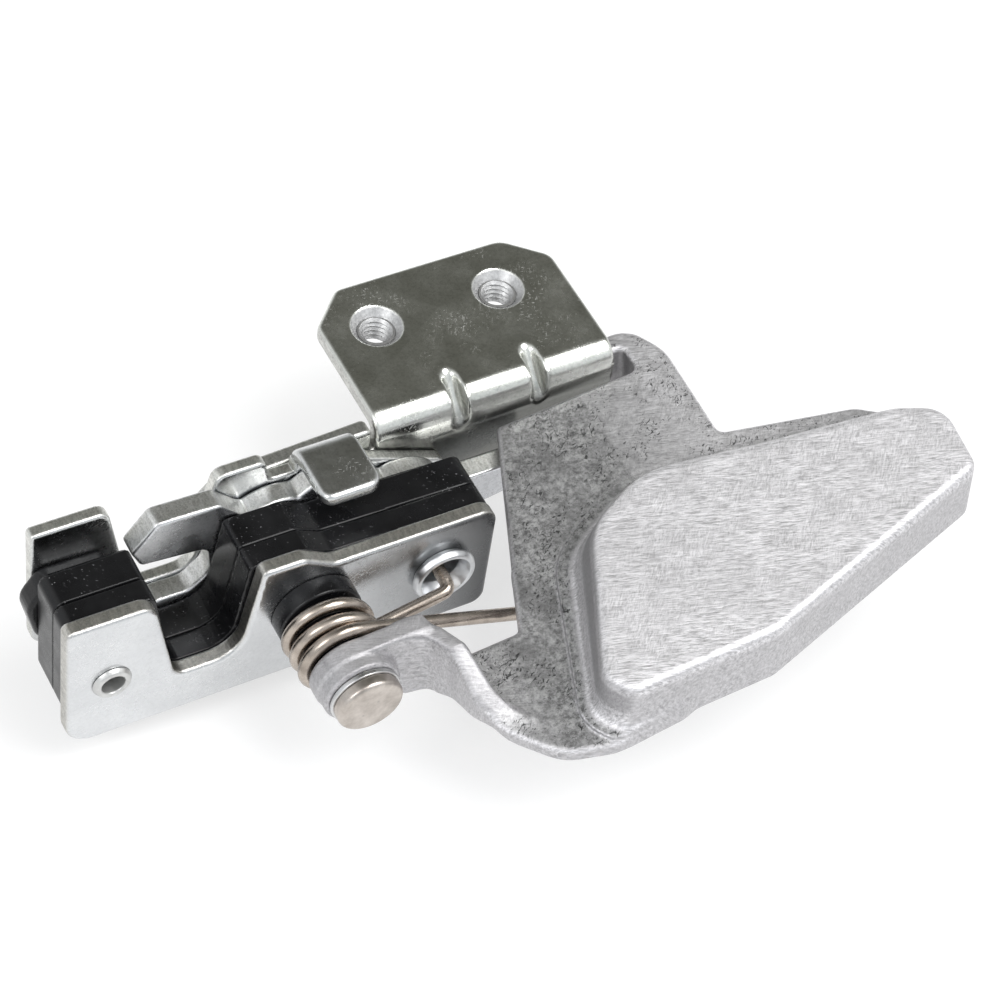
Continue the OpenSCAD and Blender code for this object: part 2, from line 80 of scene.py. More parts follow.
# holes (x, z, radius) through the sheets, wider than their pins by the fit
FIT = 0.04
PIN_HOLE = (*PIN, PIN_R + FIT)
PAWL_HOLE = (*PAWL, PAWL_RIVET_R + FIT)
LEFT_HOLE = (*LEFT_RIVET, LEFT_RIVET_R + FIT)
# sleeves that fork and pawl turn on, and the room around them in the bores and in the block
SLEEVE_Y = (BLOCK_FRONT[0], SPACER_LAYER[1])
SLEEVE_WALL = 1.4
SLEEVE_R = PIN_HOLE[2] + SLEEVE_WALL
PAWL_SLEEVE_R = PAWL_HOLE[2] + SLEEVE_WALL
BORE_ROOM = 0.05
SEAT_ROOM = 0.06
# rear end of the pin, spread into the wall from this Y on
PEEN_Y = 21.8
# sheets: middle and half thickness of the two bent ones, heights and reach
BACK_MID, BACK_HALF = sum(BACK) / 2, (BACK[1] - BACK[0]) / 2
WALL_MID, WALL_HALF = sum(WALL) / 2, (WALL[1] - WALL[0]) / 2
EAR_Z = 30.0
TONGUE_X = (44.8, 55.0)
TAB_Z = 26.5
TAB_X = (60.3, 103.3)
TAB_FAR = 49.0
# edge radii: rear sheets, levers
SHEET_EDGE = 0.6
LEVER_EDGE = 0.45
# tapped holes: a drawn collar under the tab, a countersink above
HOLES_X = (69.4, 91.4)
HOLE_Y = 39.2
BORE_R = 2.85
SINK_DEPTH, SINK_SLOPE, SINK_R = 1.75, 0.85, 4.35
COLLAR_R = 4.2
COLLAR_Z = 20.3
# the CAD's zero point, midway between the two holes
ZERO = np.array([sum(HOLES_X) / 2, HOLE_Y, TAB_Z])
# pressed darts across the tab's bend: middle of the bend in Y Z, inner face of the rib below
DARTS_X = (75.3, 89.5)
DART_R = 1.25
DART_AT = (22.48, 24.02)
DART_REACH = 3.2
RIB_FACE = 21.0
# handle, in its own frame: origin on the pin axis, turned up at rest
TILT = math.radians(7.0)
EYE_Y = (-15.6, -12.2)
BOSS_Y = -17.8
WEB_Z = (-4.5, -1.5)
RIB_Z = (-6.9, -2.0)
SKIRT_Z = (-11.0, -2.0)
PADDLE_Z = 8.3
PADDLE_WALL = 3.0
FOOT_OUT, FOOT_UP = 1.8, 0.7
BUSH_R = 5.05
EYE_R = 6.6
BOSS_R = 6.3
# the rail's roof and floor: height, Y where the slope starts, slope
RAIL_ROOF = (5.6, -20, math.tan(math.radians(30)))
RAIL_FLOOR = (-9, -18, math.tan(math.radians(27)))
# handle spring: coil, wire, angles and lengths of its legs
COIL_R = 6.4
WIRE_R = 1.1
COIL_Y = (-4.7, -10.7)
SHORT_ANGLE, SHORT_LEG = math.radians(13.5), 20.6
LONG_ANGLE, LONG_LEG = math.radians(21), 31.5
HOOK_DEPTH = 6.2
# small springs: coil, wire, legs and hook, and their rooms in the rear half of the block
SMALL_COIL_R = 7.0
SMALL_WIRE_R = 0.6
SMALL_COIL_Y = (FORK_LAYER[0] - 3.35, FORK_LAYER[0] - 1.85)
STANDING_LEG = 5.8
SMALL_HOOK = 4.7
SMALL_BLEND_Y = (10.2, 11.6)
EYE_DX, EYE_DZ = 6.95, 3.4
EYE_HOLE_R = 0.9
ROOM_R = SMALL_COIL_R + SMALL_WIRE_R + 0.6
ROOM_FLOOR = 9.3
SLOT_HALF_X, SLOT_HALF_Z, SLOT_UP = 1.2, 5.6, 1.0
# levers in the fork's layer
HUB_R = 9.5
TOOTH_R = 12.5
PAWL_HUB_R = 7.8


# Shapes as signed distances, negative inside

def rounded(*corners, step=10.0):
    """Closed outline through corners (u, v, radius); each corner becomes an arc tangent to its two sides."""
    points = []
    count = len(corners)
    for i, (u, v, r) in enumerate(corners):
        p = np.array([u, v], float)
        if r <= 0:
            points.append(p)
            continue
        a = np.array(corners[i - 1][:2], float) - p
        b = np.array(corners[(i + 1) % count][:2], float) - p
        a, b = a / np.linalg.norm(a), b / np.linalg.norm(b)
        half = math.acos(float(np.clip(a @ b, -1, 1))) / 2
        middle = p + (a + b) / np.linalg.norm(a + b) * r / math.sin(half)
        first, last = p + a * r / math.tan(half) - middle, p + b * r / math.tan(half) - middle
        start = math.atan2(first[1], first[0])
        turn = (math.atan2(last[1], last[0]) - start + 3 * math.pi) % (2 * math.pi) - math.pi
        angles = start + turn * np.linspace(0, 1, max(3, int(abs(math.degrees(turn)) / step) + 1))
        points.extend(middle + r * np.stack([np.cos(angles), np.sin(angles)], 1))
    return np.array(points)


def outline(points):
    """Distance to a closed outline: to its nearest side, negative where a ray to the right crosses it an odd
    number of times."""
    points = np.asarray(points, float)

    def distance(u, v):
        """Signed distance at (u, v)."""
        shape = np.broadcast(u, v).shape
        nearest = np.full(shape, np.inf)
        inside = np.zeros(shape, bool)
        for (au, av), (bu, bv) in zip(points, np.roll(points, -1, 0)):
            eu, ev = bu - au, bv - av
            wu, wv = u - au, v - av
            t = np.clip((wu * eu + wv * ev) / (eu * eu + ev * ev + 1e-12), 0, 1)
            nearest = np.minimum(nearest, (wu - eu * t) ** 2 + (wv - ev * t) ** 2)
            if ev != 0:
                inside ^= ((v >= av) != (v >= bv)) & (wu < eu * wv / ev)
        return np.where(inside, -1.0, 1.0) * np.sqrt(nearest)

    return distance


def polyline(points):
    """Distance to an open line of straight pieces."""
    points = np.asarray(points, float)

    def distance(u, v):
        """Distance at (u, v)."""
        nearest = np.full(np.broadcast(u, v).shape, np.inf)
        for (au, av), (bu, bv) in zip(points[:-1], points[1:]):
            eu, ev = bu - au, bv - av
            wu, wv = u - au, v - av
            t = np.clip((wu * eu + wv * ev) / (eu * eu + ev * ev), 0, 1)
            nearest = np.minimum(nearest, (wu - eu * t) ** 2 + (wv - ev * t) ** 2)
        return np.sqrt(nearest)

    return distance


def plate(flat, w, low, high, edge):
    """Plate from low to high along w over an outline distance, its edges rounded with radius edge."""
    a = flat + edge
    b = np.abs(w - (low + high) / 2) - (high - low) / 2 + edge
    return np.minimum(np.maximum(a, b), 0) + np.hypot(np.maximum(a, 0), np.maximum(b, 0)) - edge


def join(a, b, soft):
    """Union whose inner corner is filled over about the length soft."""
    h = np.clip(0.5 + 0.5 * (b - a) / soft, 0, 1)
    return b * (1 - h) + a * h - soft * h * (1 - h)


def common(a, b, soft):
    """Intersection whose outer edge is rounded over about the length soft."""
    return -join(-a, -b, soft)


def cut(a, b, soft):
    """a without b, its rim rounded over about the length soft."""
    return -join(-a, b, soft)


def drill(d, x, z, holes, soft=0.4):
    """d with round holes (x, z, radius) along Y."""
    for cx, cz, r in holes:
        d = cut(d, np.hypot(x - cx, z - cz) - r, soft)
    return d


# Meshes

def slope(field, p, reach=0.02):
    """Slope of the field at points p, by central differences."""
    found = np.empty_like(p)
    for axis in range(3):
        shift = np.zeros(3)
        shift[axis] = reach
        found[:, axis] = (field(*(p + shift).T) - field(*(p - shift).T)) / (2 * reach)
    return found


def net(field, low, high, step):
    """Surface where the field is zero, as quads with their normals.
    Each cell that the surface crosses has one vertex, the mean of the crossings on its twelve edges, which
    two steps along the slope then bring onto the surface. Each crossed grid edge gives one quad of the
    four cells around it."""
    low, high = np.array(low, float) - 1.5 * step, np.array(high, float) + 1.5 * step
    axes = [np.arange(a, b, step) for a, b in zip(low, high)]
    sizes = [len(a) for a in axes]
    values = field(axes[0][:, None, None], axes[1][None, :, None], axes[2][None, None, :])
    values = np.ascontiguousarray(np.broadcast_to(values, sizes))
    inside = values < 0
    cells = [n - 1 for n in sizes]
    total = np.zeros((*cells, 3))
    count = np.zeros(cells)
    for axis in range(3):
        order = [axis, (axis + 1) % 3, (axis + 2) % 3]
        f, i = values.transpose(order), inside.transpose(order)
        crossed = i[:-1] != i[1:]
        along = np.where(crossed, f[:-1] / np.where(crossed, f[:-1] - f[1:], 1), 0)
        along = along + np.arange(crossed.shape[0])[:, None, None]
        sums, counts = total.transpose(*order, 3), count.transpose(order)
        for j in (0, 1):
            for k in (0, 1):
                part = np.s_[:, j:j + cells[order[1]], k:k + cells[order[2]]]
                hit = crossed[part]
                sums[..., order[0]] += np.where(hit, along[part], 0)
                sums[..., order[1]] += hit * (np.arange(cells[order[1]]) + j)[None, :, None]
                sums[..., order[2]] += hit * (np.arange(cells[order[2]]) + k)[None, None, :]
                counts += hit
    used = count > 0
    ids = np.full(cells, -1)
    ids[used] = np.arange(used.sum())
    points = low + step * total[used] / count[used][:, None]
    quads = []
    for axis in range(3):
        order = [axis, (axis + 1) % 3, (axis + 2) % 3]
        i, cell = inside.transpose(order), ids.transpose(order)
        near, far = i[:-1, 1:-1, 1:-1], i[1:, 1:-1, 1:-1]
        a, b, c = np.nonzero(near != far)
        four = np.stack([cell[a, b, c], cell[a, b + 1, c], cell[a, b + 1, c + 1], cell[a, b, c + 1]], 1)
        back = ~near[a, b, c]
        four[back] = four[back][:, ::-1]
        quads.append(four)
    for _ in range(2):
        s = slope(field, points)
        move = field(*points.T)[:, None] * s / np.maximum((s * s).sum(1), 0.2)[:, None]
        points -= np.clip(move, -step / 2, step / 2)
    normals = slope(field, points)
    normals /= np.maximum(np.linalg.norm(normals, axis=1), 1e-6)[:, None]
    return points, np.concatenate(quads), normals


def grid_faces(rows, columns, close_rows=False, close_columns=False):
    """Quads of a grid of rows by columns, row-major, with the chosen directions closed on themselves."""
    r = np.arange(rows if close_rows else rows - 1)[:, None]
    c = np.arange(columns if close_columns else columns - 1)[None, :]
    r1, c1 = (r + 1) % rows, (c + 1) % columns
    return np.stack(np.broadcast_arrays(
        r * columns + c, r * columns + c1, r1 * columns + c1, r1 * columns + c), -1).reshape(-1, 4)


def lathe(profile, centre, turns=72):
    """Closed profile of (y, radius) turned about the Y axis through centre (x, z)."""
    profile = np.asarray(profile, float)
    angle = np.linspace(0, 2 * np.pi, turns, endpoint=False)
    y, r = profile[:, 0][:, None], profile[:, 1][:, None]
    points = np.stack(np.broadcast_arrays(
        centre[0] + r * np.cos(angle), y, centre[1] + r * np.sin(angle)), -1).reshape(-1, 3)
    return points, grid_faces(len(profile), turns, True, True)


def ring(y0, y1, inner, outer, edge):
    """Profile of a plain ring from y0 to y1 with all four edges rounded."""
    return rounded((y0, inner, edge), (y0, outer, edge), (y1, outer, edge), (y1, inner, edge), step=22.5)


def smooth_path(points, spacing=0.35, spread=3):
    """Line through points, walked at an even spacing and averaged so that its corners become bends."""
    points = np.asarray(points, float)
    run = np.r_[0, np.cumsum(np.linalg.norm(np.diff(points, axis=0), axis=1))]
    at = np.linspace(0, run[-1], int(run[-1] / spacing) + 2)
    line = np.stack([np.interp(at, run, points[:, k]) for k in range(3)], 1)
    reach = 3 * spread
    weight = np.exp(-0.5 * (np.arange(-reach, reach + 1) / spread) ** 2)
    weight /= weight.sum()
    before = 2 * line[0] - line[reach:0:-1]
    after = 2 * line[-1] - line[-2:-reach - 2:-1]
    padded = np.concatenate([before, line, after])
    return np.stack([np.convolve(padded[:, k], weight, "valid") for k in range(3)], 1)


def tube(path, radius, sides=18):
    """Round wire: a circle carried along the path without twisting, closed by a shallow dome at each end."""
    tangent = np.gradient(path, axis=0)
    tangent /= np.linalg.norm(tangent, axis=1)[:, None]
    side = np.empty_like(path)
    off_axis = np.cross(tangent[0], (0.31, 0.83, 0.47))
    side[0] = off_axis / np.linalg.norm(off_axis)
    for i in range(1, len(path)):
        side[i] = side[i - 1] - tangent[i] * (side[i - 1] @ tangent[i])
        side[i] /= np.linalg.norm(side[i])
    up = np.cross(tangent, side)
    dome_rows, dome_height = 6, 0.35 * radius
    quarter = np.linspace(0.08, 1, dome_rows) * np.pi / 2
    bow, rise = np.sin(quarter), dome_height * np.cos(quarter)
    head = path[0] - tangent[0] * rise[:, None]
    tail = path[-1] + tangent[-1] * rise[::-1, None]
    centre = np.concatenate([head, path, tail])
    size = radius * np.concatenate([bow, np.ones(len(path)), bow[::-1]])
    side, up = (np.concatenate([np.repeat(a[:1], dome_rows, 0), a, np.repeat(a[-1:], dome_rows, 0)])
                for a in (side, up))
    angle = np.linspace(0, 2 * np.pi, sides, endpoint=False)
    points = centre[:, None] + size[:, None, None] * (
        side[:, None] * np.cos(angle)[None, :, None] + up[:, None] * np.sin(angle)[None, :, None])
    rows = len(centre)
    faces = grid_faces(rows, sides, False, True)[:, ::-1]
    points = np.concatenate([points.reshape(-1, 3), centre[:1], centre[-1:]])
    k = np.arange(sides)
    first = np.stack([k, (k + 1) % sides, np.full(sides, rows * sides)], 1)
    last = np.stack([(rows - 1) * sides + (k + 1) % sides, (rows - 1) * sides + k,
                     np.full(sides, rows * sides + 1)], 1)
    return points, [*faces.tolist(), *first.tolist(), *last.tolist()]


def piece(name, points, faces, material, replaces=(), body="base", normals=None, paint=None):
    """One finished piece: points less the zero point, in metres, are its mesh, with normals and paint on its
    vertices. It gets its material, hides the nodes it replaces and rides on its body, if one is given."""
    mesh = bpy.data.meshes.new(name)
    faces = faces if isinstance(faces, list) else faces.tolist()
    mesh.from_pydata(((points - ZERO) * MM).tolist(), [], faces)
    for key, values in (paint or {}).items():
        mesh.attributes.new(key, "FLOAT", "POINT").data.foreach_set("value", np.asarray(values, np.float32))
    mesh.shade_smooth()
    if normals is None:
        mesh.set_sharp_from_angle(angle=SHARP_ANGLE)
    else:
        mesh.normals_split_custom_set_from_vertices(normals.tolist())
    mesh.materials.append(material)
    obj = bpy.data.objects.new(name, mesh)
    bpy.context.scene.collection.objects.link(obj)
    if replaces:
        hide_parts(*replaces)
    if body:
        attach(obj, body)
    return obj


def fade(value, start, length):
    """0 up to start, then straight up to 1 over the length; with a negative length it rises downwards."""
    return np.clip((value - start) / length, 0, 1)


def shear(square):
    """Paint of cut edges, from the share of a normal that is square to the sheet: 0 on faces, 1 on edges."""
    return np.clip(1.35 - 1.5 * square, 0, 1)


# Materials

def add_node(tree, kind, inputs=(), **settings):
    """Adds one node: settings are its properties, inputs are sockets to link or plain values."""
    made = tree.nodes.new(kind)
    for key, value in settings.items():
        setattr(made, key, value)
    for key, value in dict(inputs).items():
        if isinstance(value, bpy.types.NodeSocket):
            tree.links.new(value, made.inputs[key])
        else:
            made.inputs[key].default_value = value
    return made


def rgba(value):
    """Opaque colour from its three parts or from one grey."""
    return (*value, 1.0) if hasattr(value, "__len__") else (value, value, value, 1.0)


def add_ramp(tree, fac, stops):
    """Colour that runs straight between stops (position, grey or colour) as fac grows."""
    ramp = add_node(tree, "ShaderNodeValToRGB", {"Fac": fac})
    elements = ramp.color_ramp.elements
    while len(elements) < len(stops):
        elements.new(0.5)
    for element, (position, value) in zip(elements, stops):
        element.position = position
        element.color = rgba(value)
    return ramp.outputs["Color"]


class Finish:
    """A procedural material: short calls that add nodes and return sockets."""

    def __init__(self, name, metallic, roughness):
        """Plain shader with these two values; place is the point on the object."""
        self.material = bpy.data.materials.new(name)
        self.material.use_nodes = True
        self.tree = self.material.node_tree
        self.shader = self.tree.nodes["Principled BSDF"]
        self.shader.inputs["Metallic"].default_value = metallic
        self.shader.inputs["Roughness"].default_value = roughness
        self.place = self.node("ShaderNodeTexCoord").outputs["Object"]

    def node(self, kind, inputs=(), **settings):
        """One node of this material."""
        return add_node(self.tree, kind, inputs, **settings)

    def stretched(self, scale, turn=(0, 0, 0)):
        """Place on the object, turned and then scaled along each axis."""
        turned = self.node("ShaderNodeMapping", {"Vector": self.place, "Rotation": turn}).outputs["Vector"]
        return self.node("ShaderNodeVectorMath", {0: turned, 1: scale}, operation="MULTIPLY").outputs[0]

    def noise(self, scale, detail=4.0, rough=0.55, at=None, warp=0.0):
        """Sum of finer and finer soft noise, about 0.5 in the middle."""
        return self.node("ShaderNodeTexNoise", {
            "Vector": at or self.place, "Scale": scale, "Detail": detail, "Roughness": rough,
            "Distortion": warp}).outputs["Fac"]

    def spots(self, scale):
        """Distance to the nearest of many scattered points."""
        return self.node("ShaderNodeTexVoronoi", {
            "Vector": self.place, "Scale": scale, "Randomness": 1.0}).outputs["Distance"]

    def ramp(self, fac, *stops):
        """Colour that runs straight between the stops as fac grows."""
        return add_ramp(self.tree, fac, stops)

    def mix(self, fac, a, b):
        """a where fac is 0, b where it is 1, in between by share; a and b are sockets, colours or greys."""
        made = self.node("ShaderNodeMix", data_type="RGBA", clamp_factor=True)
        for socket, value in ((made.inputs["Factor"], fac), (made.inputs[6], a), (made.inputs[7], b)):
            if isinstance(value, bpy.types.NodeSocket):
                self.tree.links.new(value, socket)
            else:
                socket.default_value = rgba(value) if socket.type == "RGBA" else value
        return made.outputs[2]

    def plus(self, a, b):
        """Sum of two values."""
        return self.node("ShaderNodeMath", {0: a, 1: b}, operation="ADD").outputs[0]

    def times(self, a, b):
        """Product of two values."""
        return self.node("ShaderNodeMath", {0: a, 1: b}, operation="MULTIPLY").outputs[0]

    def painted(self, name):
        """Value painted on the piece's vertices."""
        return self.node("ShaderNodeAttribute", attribute_name=name).outputs["Fac"]

    def bump(self, height, strength, distance, under=None):
        """Normal tilted by the slope of a height, over an earlier normal where one is given."""
        inputs = {"Height": height, "Strength": strength, "Distance": distance}
        if under is not None:
            inputs["Normal"] = under
        return self.node("ShaderNodeBump", inputs).outputs["Normal"]

    def done(self, colour, roughness, normal):
        """Joins the three results to the shader."""
        for key, socket in (("Base Color", colour), ("Roughness", roughness), ("Normal", normal)):
            self.tree.links.new(socket, self.shader.inputs[key])
        return self.material


def zinc(name, light, dark, edge, rough=(0.16, 0.34), cloud=0.3):
    """Bright zinc on rolled sheet: cloudy tint, hair scratches both ways, dust specks, rough sheared edges.
    Painted values: shear on cut edges, satin on machined seats, and painted shade that darkens the sheet's
    colour."""
    f = Finish(name, 1.0, 0.25)
    clouds = f.noise(75, 7, 0.66)
    sheet = f.mix(f.ramp(clouds, (0.32, 0.0), (0.68, 1.0)), dark, light)
    mottle = f.noise(1500, 5, 0.75)
    sheet = f.mix(f.ramp(mottle, (0.40, cloud), (0.52, 0.0)), sheet, [0.55 * c for c in dark])
    hair = f.noise(1, 2, 0.6, f.stretched((2800, 330, 2800), (0.4, 0.2, 0.55)))
    cross = f.noise(1, 2, 0.6, f.stretched((300, 2800, 2800), (0.3, 0.5, 0.35)))
    where = f.ramp(f.noise(95, 3), (0.50, 0.0), (0.62, 1.0))
    scratch = f.plus(f.ramp(hair, (0.61, 0.0), (0.68, 1.0)), f.ramp(cross, (0.62, 0.0), (0.69, 1.0)))
    scratch = f.times(scratch, where)
    dust = f.ramp(f.spots(800), (0.09, 1.0), (0.17, 0.0))
    dust = f.times(dust, f.ramp(f.noise(130, 3), (0.50, 0.0), (0.62, 0.7)))
    marks = f.plus(scratch, dust)
    sheet = f.mix(f.times(marks, 0.4), sheet, (0.92, 0.92, 0.90))
    # painted shade: the sheet's colour falls towards a dark grey where the painted value is set
    painted_shade = f.painted("painted_shade")
    sheet = f.mix(painted_shade, sheet, [0.16 * c for c in dark])
    grain = f.noise(3400, 4, 0.7)
    streak = f.noise(1, 3, 0.6, f.stretched((1500, 420, 1500)))
    torn = f.mix(f.ramp(grain, (0.36, 0.0), (0.64, 1.0)), [0.72 * c for c in edge], [1.25 * c for c in edge])
    torn = f.mix(f.ramp(streak, (0.42, 0.0), (0.72, 0.6)), torn, [min(1, 1.7 * c) for c in edge])
    side = f.painted("shear")
    satin = f.painted("satin")
    colour = f.mix(satin, f.mix(side, sheet, torn), f.mix(f.ramp(mottle, (0.4, 0.0), (0.6, 1.0)), 0.44, 0.60))
    spread = f.ramp(f.noise(140, 4, 0.6), (0.3, rough[0]), (0.7, rough[1]))
    spread = f.mix(f.times(marks, 0.55), spread, 0.52)
    spread = f.mix(satin, f.mix(side, spread, 0.34), 0.46)
    normal = f.bump(f.noise(38, 3, 0.5), 0.15, 0.0006)
    normal = f.bump(marks, 0.22, 0.00006, normal)
    normal = f.bump(f.times(f.plus(grain, streak), side), 0.45, 0.00012, normal)
    return f.done(colour, spread, normal)


def moulding(name):
    """Black glass-filled moulding: fine grain, dull and shiny patches, pale rubs and pin-point dust."""
    f = Finish(name, 0.0, 0.35)
    f.shader.inputs["Specular IOR Level"].default_value = 0.32
    patches = f.noise(120, 5, 0.65)
    colour = f.mix(f.ramp(patches, (0.3, 0.0), (0.75, 1.0)), (0.003, 0.003, 0.0035), (0.011, 0.011, 0.012))
    hair = f.noise(1, 2, 0.6, f.stretched((300, 2600, 2600), (0.5, 0.4, 0.7)))
    cross = f.noise(1, 2, 0.6, f.stretched((2600, 300, 2600), (0.3, 0.2, -0.5)))
    rub = f.plus(f.ramp(hair, (0.68, 0.0), (0.73, 1.0)), f.ramp(cross, (0.69, 0.0), (0.74, 1.0)))
    rub = f.times(rub, f.ramp(f.noise(85, 3), (0.48, 0.0), (0.62, 1.0)))
    colour = f.mix(f.times(rub, 0.55), colour, (0.20, 0.20, 0.21))
    dust = f.ramp(f.spots(1000), (0.07, 1.0), (0.12, 0.0))
    dust = f.times(dust, f.ramp(f.noise(80, 2), (0.50, 0.0), (0.60, 1.0)))
    colour = f.mix(f.times(dust, 0.35), colour, (0.40, 0.40, 0.41))
    rough = f.ramp(f.noise(200, 4, 0.6), (0.3, 0.20), (0.75, 0.38))
    normal = f.bump(f.noise(2600, 3, 0.6), 0.16, 0.00005)
    normal = f.bump(f.noise(110, 3, 0.5), 0.10, 0.0003, normal)
    return f.done(colour, rough, normal)


def casting(name):
    """Tumbled die casting: short brushed strokes on rubbed high spots, satin walls, dark pits on the web.
    Painted values: wear together with painted highlight and shade, pitted on the open face of the web."""
    f = Finish(name, 0.62, 0.5)
    wear_and_painted_light = f.painted("wear_and_painted_light")
    pitted = f.painted("pitted")
    along = f.noise(1, 4, 0.7, f.stretched((480, 4400, 1500), (0, 0, 0.36)), 0.5)
    across = f.noise(1, 4, 0.7, f.stretched((3600, 700, 1500), (0, 0, 0.7)), 0.6)
    patch = f.ramp(f.noise(160, 3), (0.42, 0.0), (0.58, 1.0))
    flow = f.mix(f.times(patch, 0.5), along, across)
    broad = f.noise(140, 6, 0.7)
    grain = f.noise(2400, 5, 0.75)
    satin = f.mix(f.ramp(grain, (0.34, 0.0), (0.66, 1.0)), (0.222, 0.217, 0.222), (0.345, 0.337, 0.345))
    pits = f.noise(1000, 6, 0.8)
    web = f.mix(f.ramp(pits, (0.38, 0.0), (0.60, 1.0)), (0.07, 0.07, 0.069), (0.50, 0.50, 0.498))
    web = f.mix(f.ramp(broad, (0.38, 0.65), (0.58, 0.0)), web, (0.09, 0.09, 0.089))
    face = f.mix(f.ramp(flow, (0.36, 0.0), (0.60, 1.0)), (0.38, 0.372, 0.38), (0.98, 0.965, 0.985))
    face = f.mix(f.ramp(f.noise(45, 4, 0.6), (0.36, 0.30), (0.60, 0.0)), face, (0.52, 0.51, 0.52))
    # the bright face colour marks rubbed wear and painted highlights, the darker colours also painted shade
    colour = f.mix(wear_and_painted_light, f.mix(pitted, satin, web), face)
    vein = f.noise(1, 3, 0.65, f.stretched((1000, 560, 800), (0, 0, 0.9)), 2.4)
    pock = f.ramp(vein, (0.385, 1.0), (0.43, 0.0))
    pock = f.times(pock, f.ramp(f.noise(120, 4, 0.6), (0.44, 0.0), (0.53, 1.0)))
    pock = f.times(pock, f.ramp(pitted, (0.0, 0.10), (0.8, 1.0)))
    colour = f.mix(f.times(pock, 0.9), colour, (0.035, 0.035, 0.035))
    rough = f.ramp(f.noise(300, 4, 0.6), (0.3, 0.38), (0.7, 0.54))
    normal = f.bump(f.mix(wear_and_painted_light, f.mix(pitted, grain, pits), flow), 0.5, 0.00016)
    normal = f.bump(f.noise(3200, 3, 0.7), 0.25, 0.00005, normal)
    normal = f.bump(pock, -0.7, 0.00022, normal)
    return f.done(colour, rough, normal)


def wire_finish(name):
    """Drawn spring wire: warm grey with die lines and a few rubbed places."""
    f = Finish(name, 1.0, 0.26)
    tone = f.noise(260, 4, 0.6)
    colour = f.mix(f.ramp(tone, (0.3, 0.0), (0.7, 1.0)), (0.29, 0.25, 0.215), (0.54, 0.475, 0.415))
    lines = f.noise(1, 3, 0.6, f.stretched((400, 2400, 400)))
    rough = f.ramp(lines, (0.3, 0.18), (0.7, 0.36))
    return f.done(colour, rough, f.bump(lines, 0.25, 0.00006))


def turned(name, light, dark, centre, metallic=1.0):
    """Turned metal: fine tool rings by distance from the pivot axis, dull bloom and small nicks."""
    f = Finish(name, metallic, 0.34)
    cx, cz = ((np.array([centre[0], 0, centre[1]]) - ZERO) * MM)[[0, 2]]
    offset = f.node("ShaderNodeVectorMath", {0: f.place, 1: (cx, 0, cz)}, operation="SUBTRACT").outputs[0]
    flat = f.node("ShaderNodeVectorMath", {0: offset, 1: (1, 0, 1)}, operation="MULTIPLY").outputs[0]
    radius = f.node("ShaderNodeVectorMath", {0: flat}, operation="LENGTH").outputs["Value"]
    at = f.node("ShaderNodeCombineXYZ", {"X": radius}).outputs[0]
    rings = f.noise(4200, 2, 0.5, at)
    bloom = f.noise(320, 5, 0.65)
    colour = f.mix(f.ramp(bloom, (0.3, 0.0), (0.7, 1.0)), dark, light)
    nick = f.ramp(f.spots(420), (0.06, 1.0), (0.12, 0.0))
    colour = f.mix(f.times(nick, 0.4), colour, (0.25, 0.24, 0.23))
    rough = f.ramp(bloom, (0.3, 0.26), (0.7, 0.44))
    normal = f.bump(rings, 0.22, 0.00005)
    normal = f.bump(f.noise(800, 4, 0.6), 0.12, 0.00012, normal)
    return f.done(colour, rough, normal)


ZINC_FRONT = zinc("zinc_front", (0.71, 0.72, 0.73), (0.61, 0.62, 0.63), (0.44, 0.43, 0.40), cloud=0.1)
ZINC_BACK = zinc("zinc_back", (0.76, 0.77, 0.77), (0.56, 0.57, 0.57), (0.56, 0.56, 0.53))
ZINC_BRACKET = zinc("zinc_bracket", (0.84, 0.85, 0.81), (0.64, 0.65, 0.61), (0.46, 0.46, 0.44), (0.17, 0.30))
ZINC_FORK = zinc("zinc_fork", (0.74, 0.75, 0.77), (0.56, 0.57, 0.59), (0.62, 0.62, 0.60))
BLACK = moulding("black_moulding")
CAST = casting("cast_alloy")
WIRE = wire_finish("spring_wire")
PIN_STEEL = turned("pin_steel", (0.64, 0.59, 0.545), (0.36, 0.32, 0.285), PIN)
RIVET_STEEL = turned("rivet_steel", (0.80, 0.81, 0.82), (0.58, 0.59, 0.60), PAWL)
LEFT_STEEL = turned("left_rivet_steel", (0.66, 0.66, 0.65), (0.46, 0.46, 0.45), LEFT_RIVET, 0.8)
SLEEVE_STEEL = turned("sleeve_steel", (0.70, 0.70, 0.70), (0.52, 0.52, 0.52), PIN)
BRONZE = turned("bush_bronze", (0.62, 0.50, 0.30), (0.44, 0.34, 0.19), PIN)


# Sheets and mouldings

FRONT_OUTLINE = outline(rounded(
    (0, 0, 4.5), (71.5, 0.6, 2.5), (71.5, 23.8, 3), (43.6, 23.8, 2), (38.4, 27.1, 2), (31.5, 27.1, 1.2),
    (28.4, 9, 5.4), (17.8, 9, 2.2), (14.1, 28, 3), (0, 28, 1.2)))
BLOCK_OUTLINE = outline(rounded(
    (0.8, 3, 3), (71.5, 3, 2), (71.5, 22.6, 2), (44.5, 23.2, 2), (40, 25.6, 2), (30.7, 25.6, 1),
    (28, 8.6, 5), (18.2, 8.6, 2), (15.3, 26.3, 1.5), (0.8, 26.3, 2)))
SPACER_OUTLINE = outline(rounded(
    (0.8, 10.6, 2.5), (13, 8, 3), (14.2, 19, 2), (12.6, 22.5, 2), (2.2, 22.8, 3), (-0.9, 18.2, 4)))
BACK_OUTLINE = outline(rounded(
    (1.5, 3, 3), (72, 2, 3), (72, 16, 2.5), (56, 23.4, 2), (55.02, 27, 0), (TONGUE_X[0], 27, 0),
    (44.78, 25.4, 0), (40.6, 25.4, 1.2), (39.8, EAR_Z, 1.5), (31.6, EAR_Z, 2.2), (29.4, 20, 1),
    (28.4, 10, 3.4), (17.8, 10, 2.2), (14, EAR_Z, 2), (1.5, EAR_Z, 0.8)))
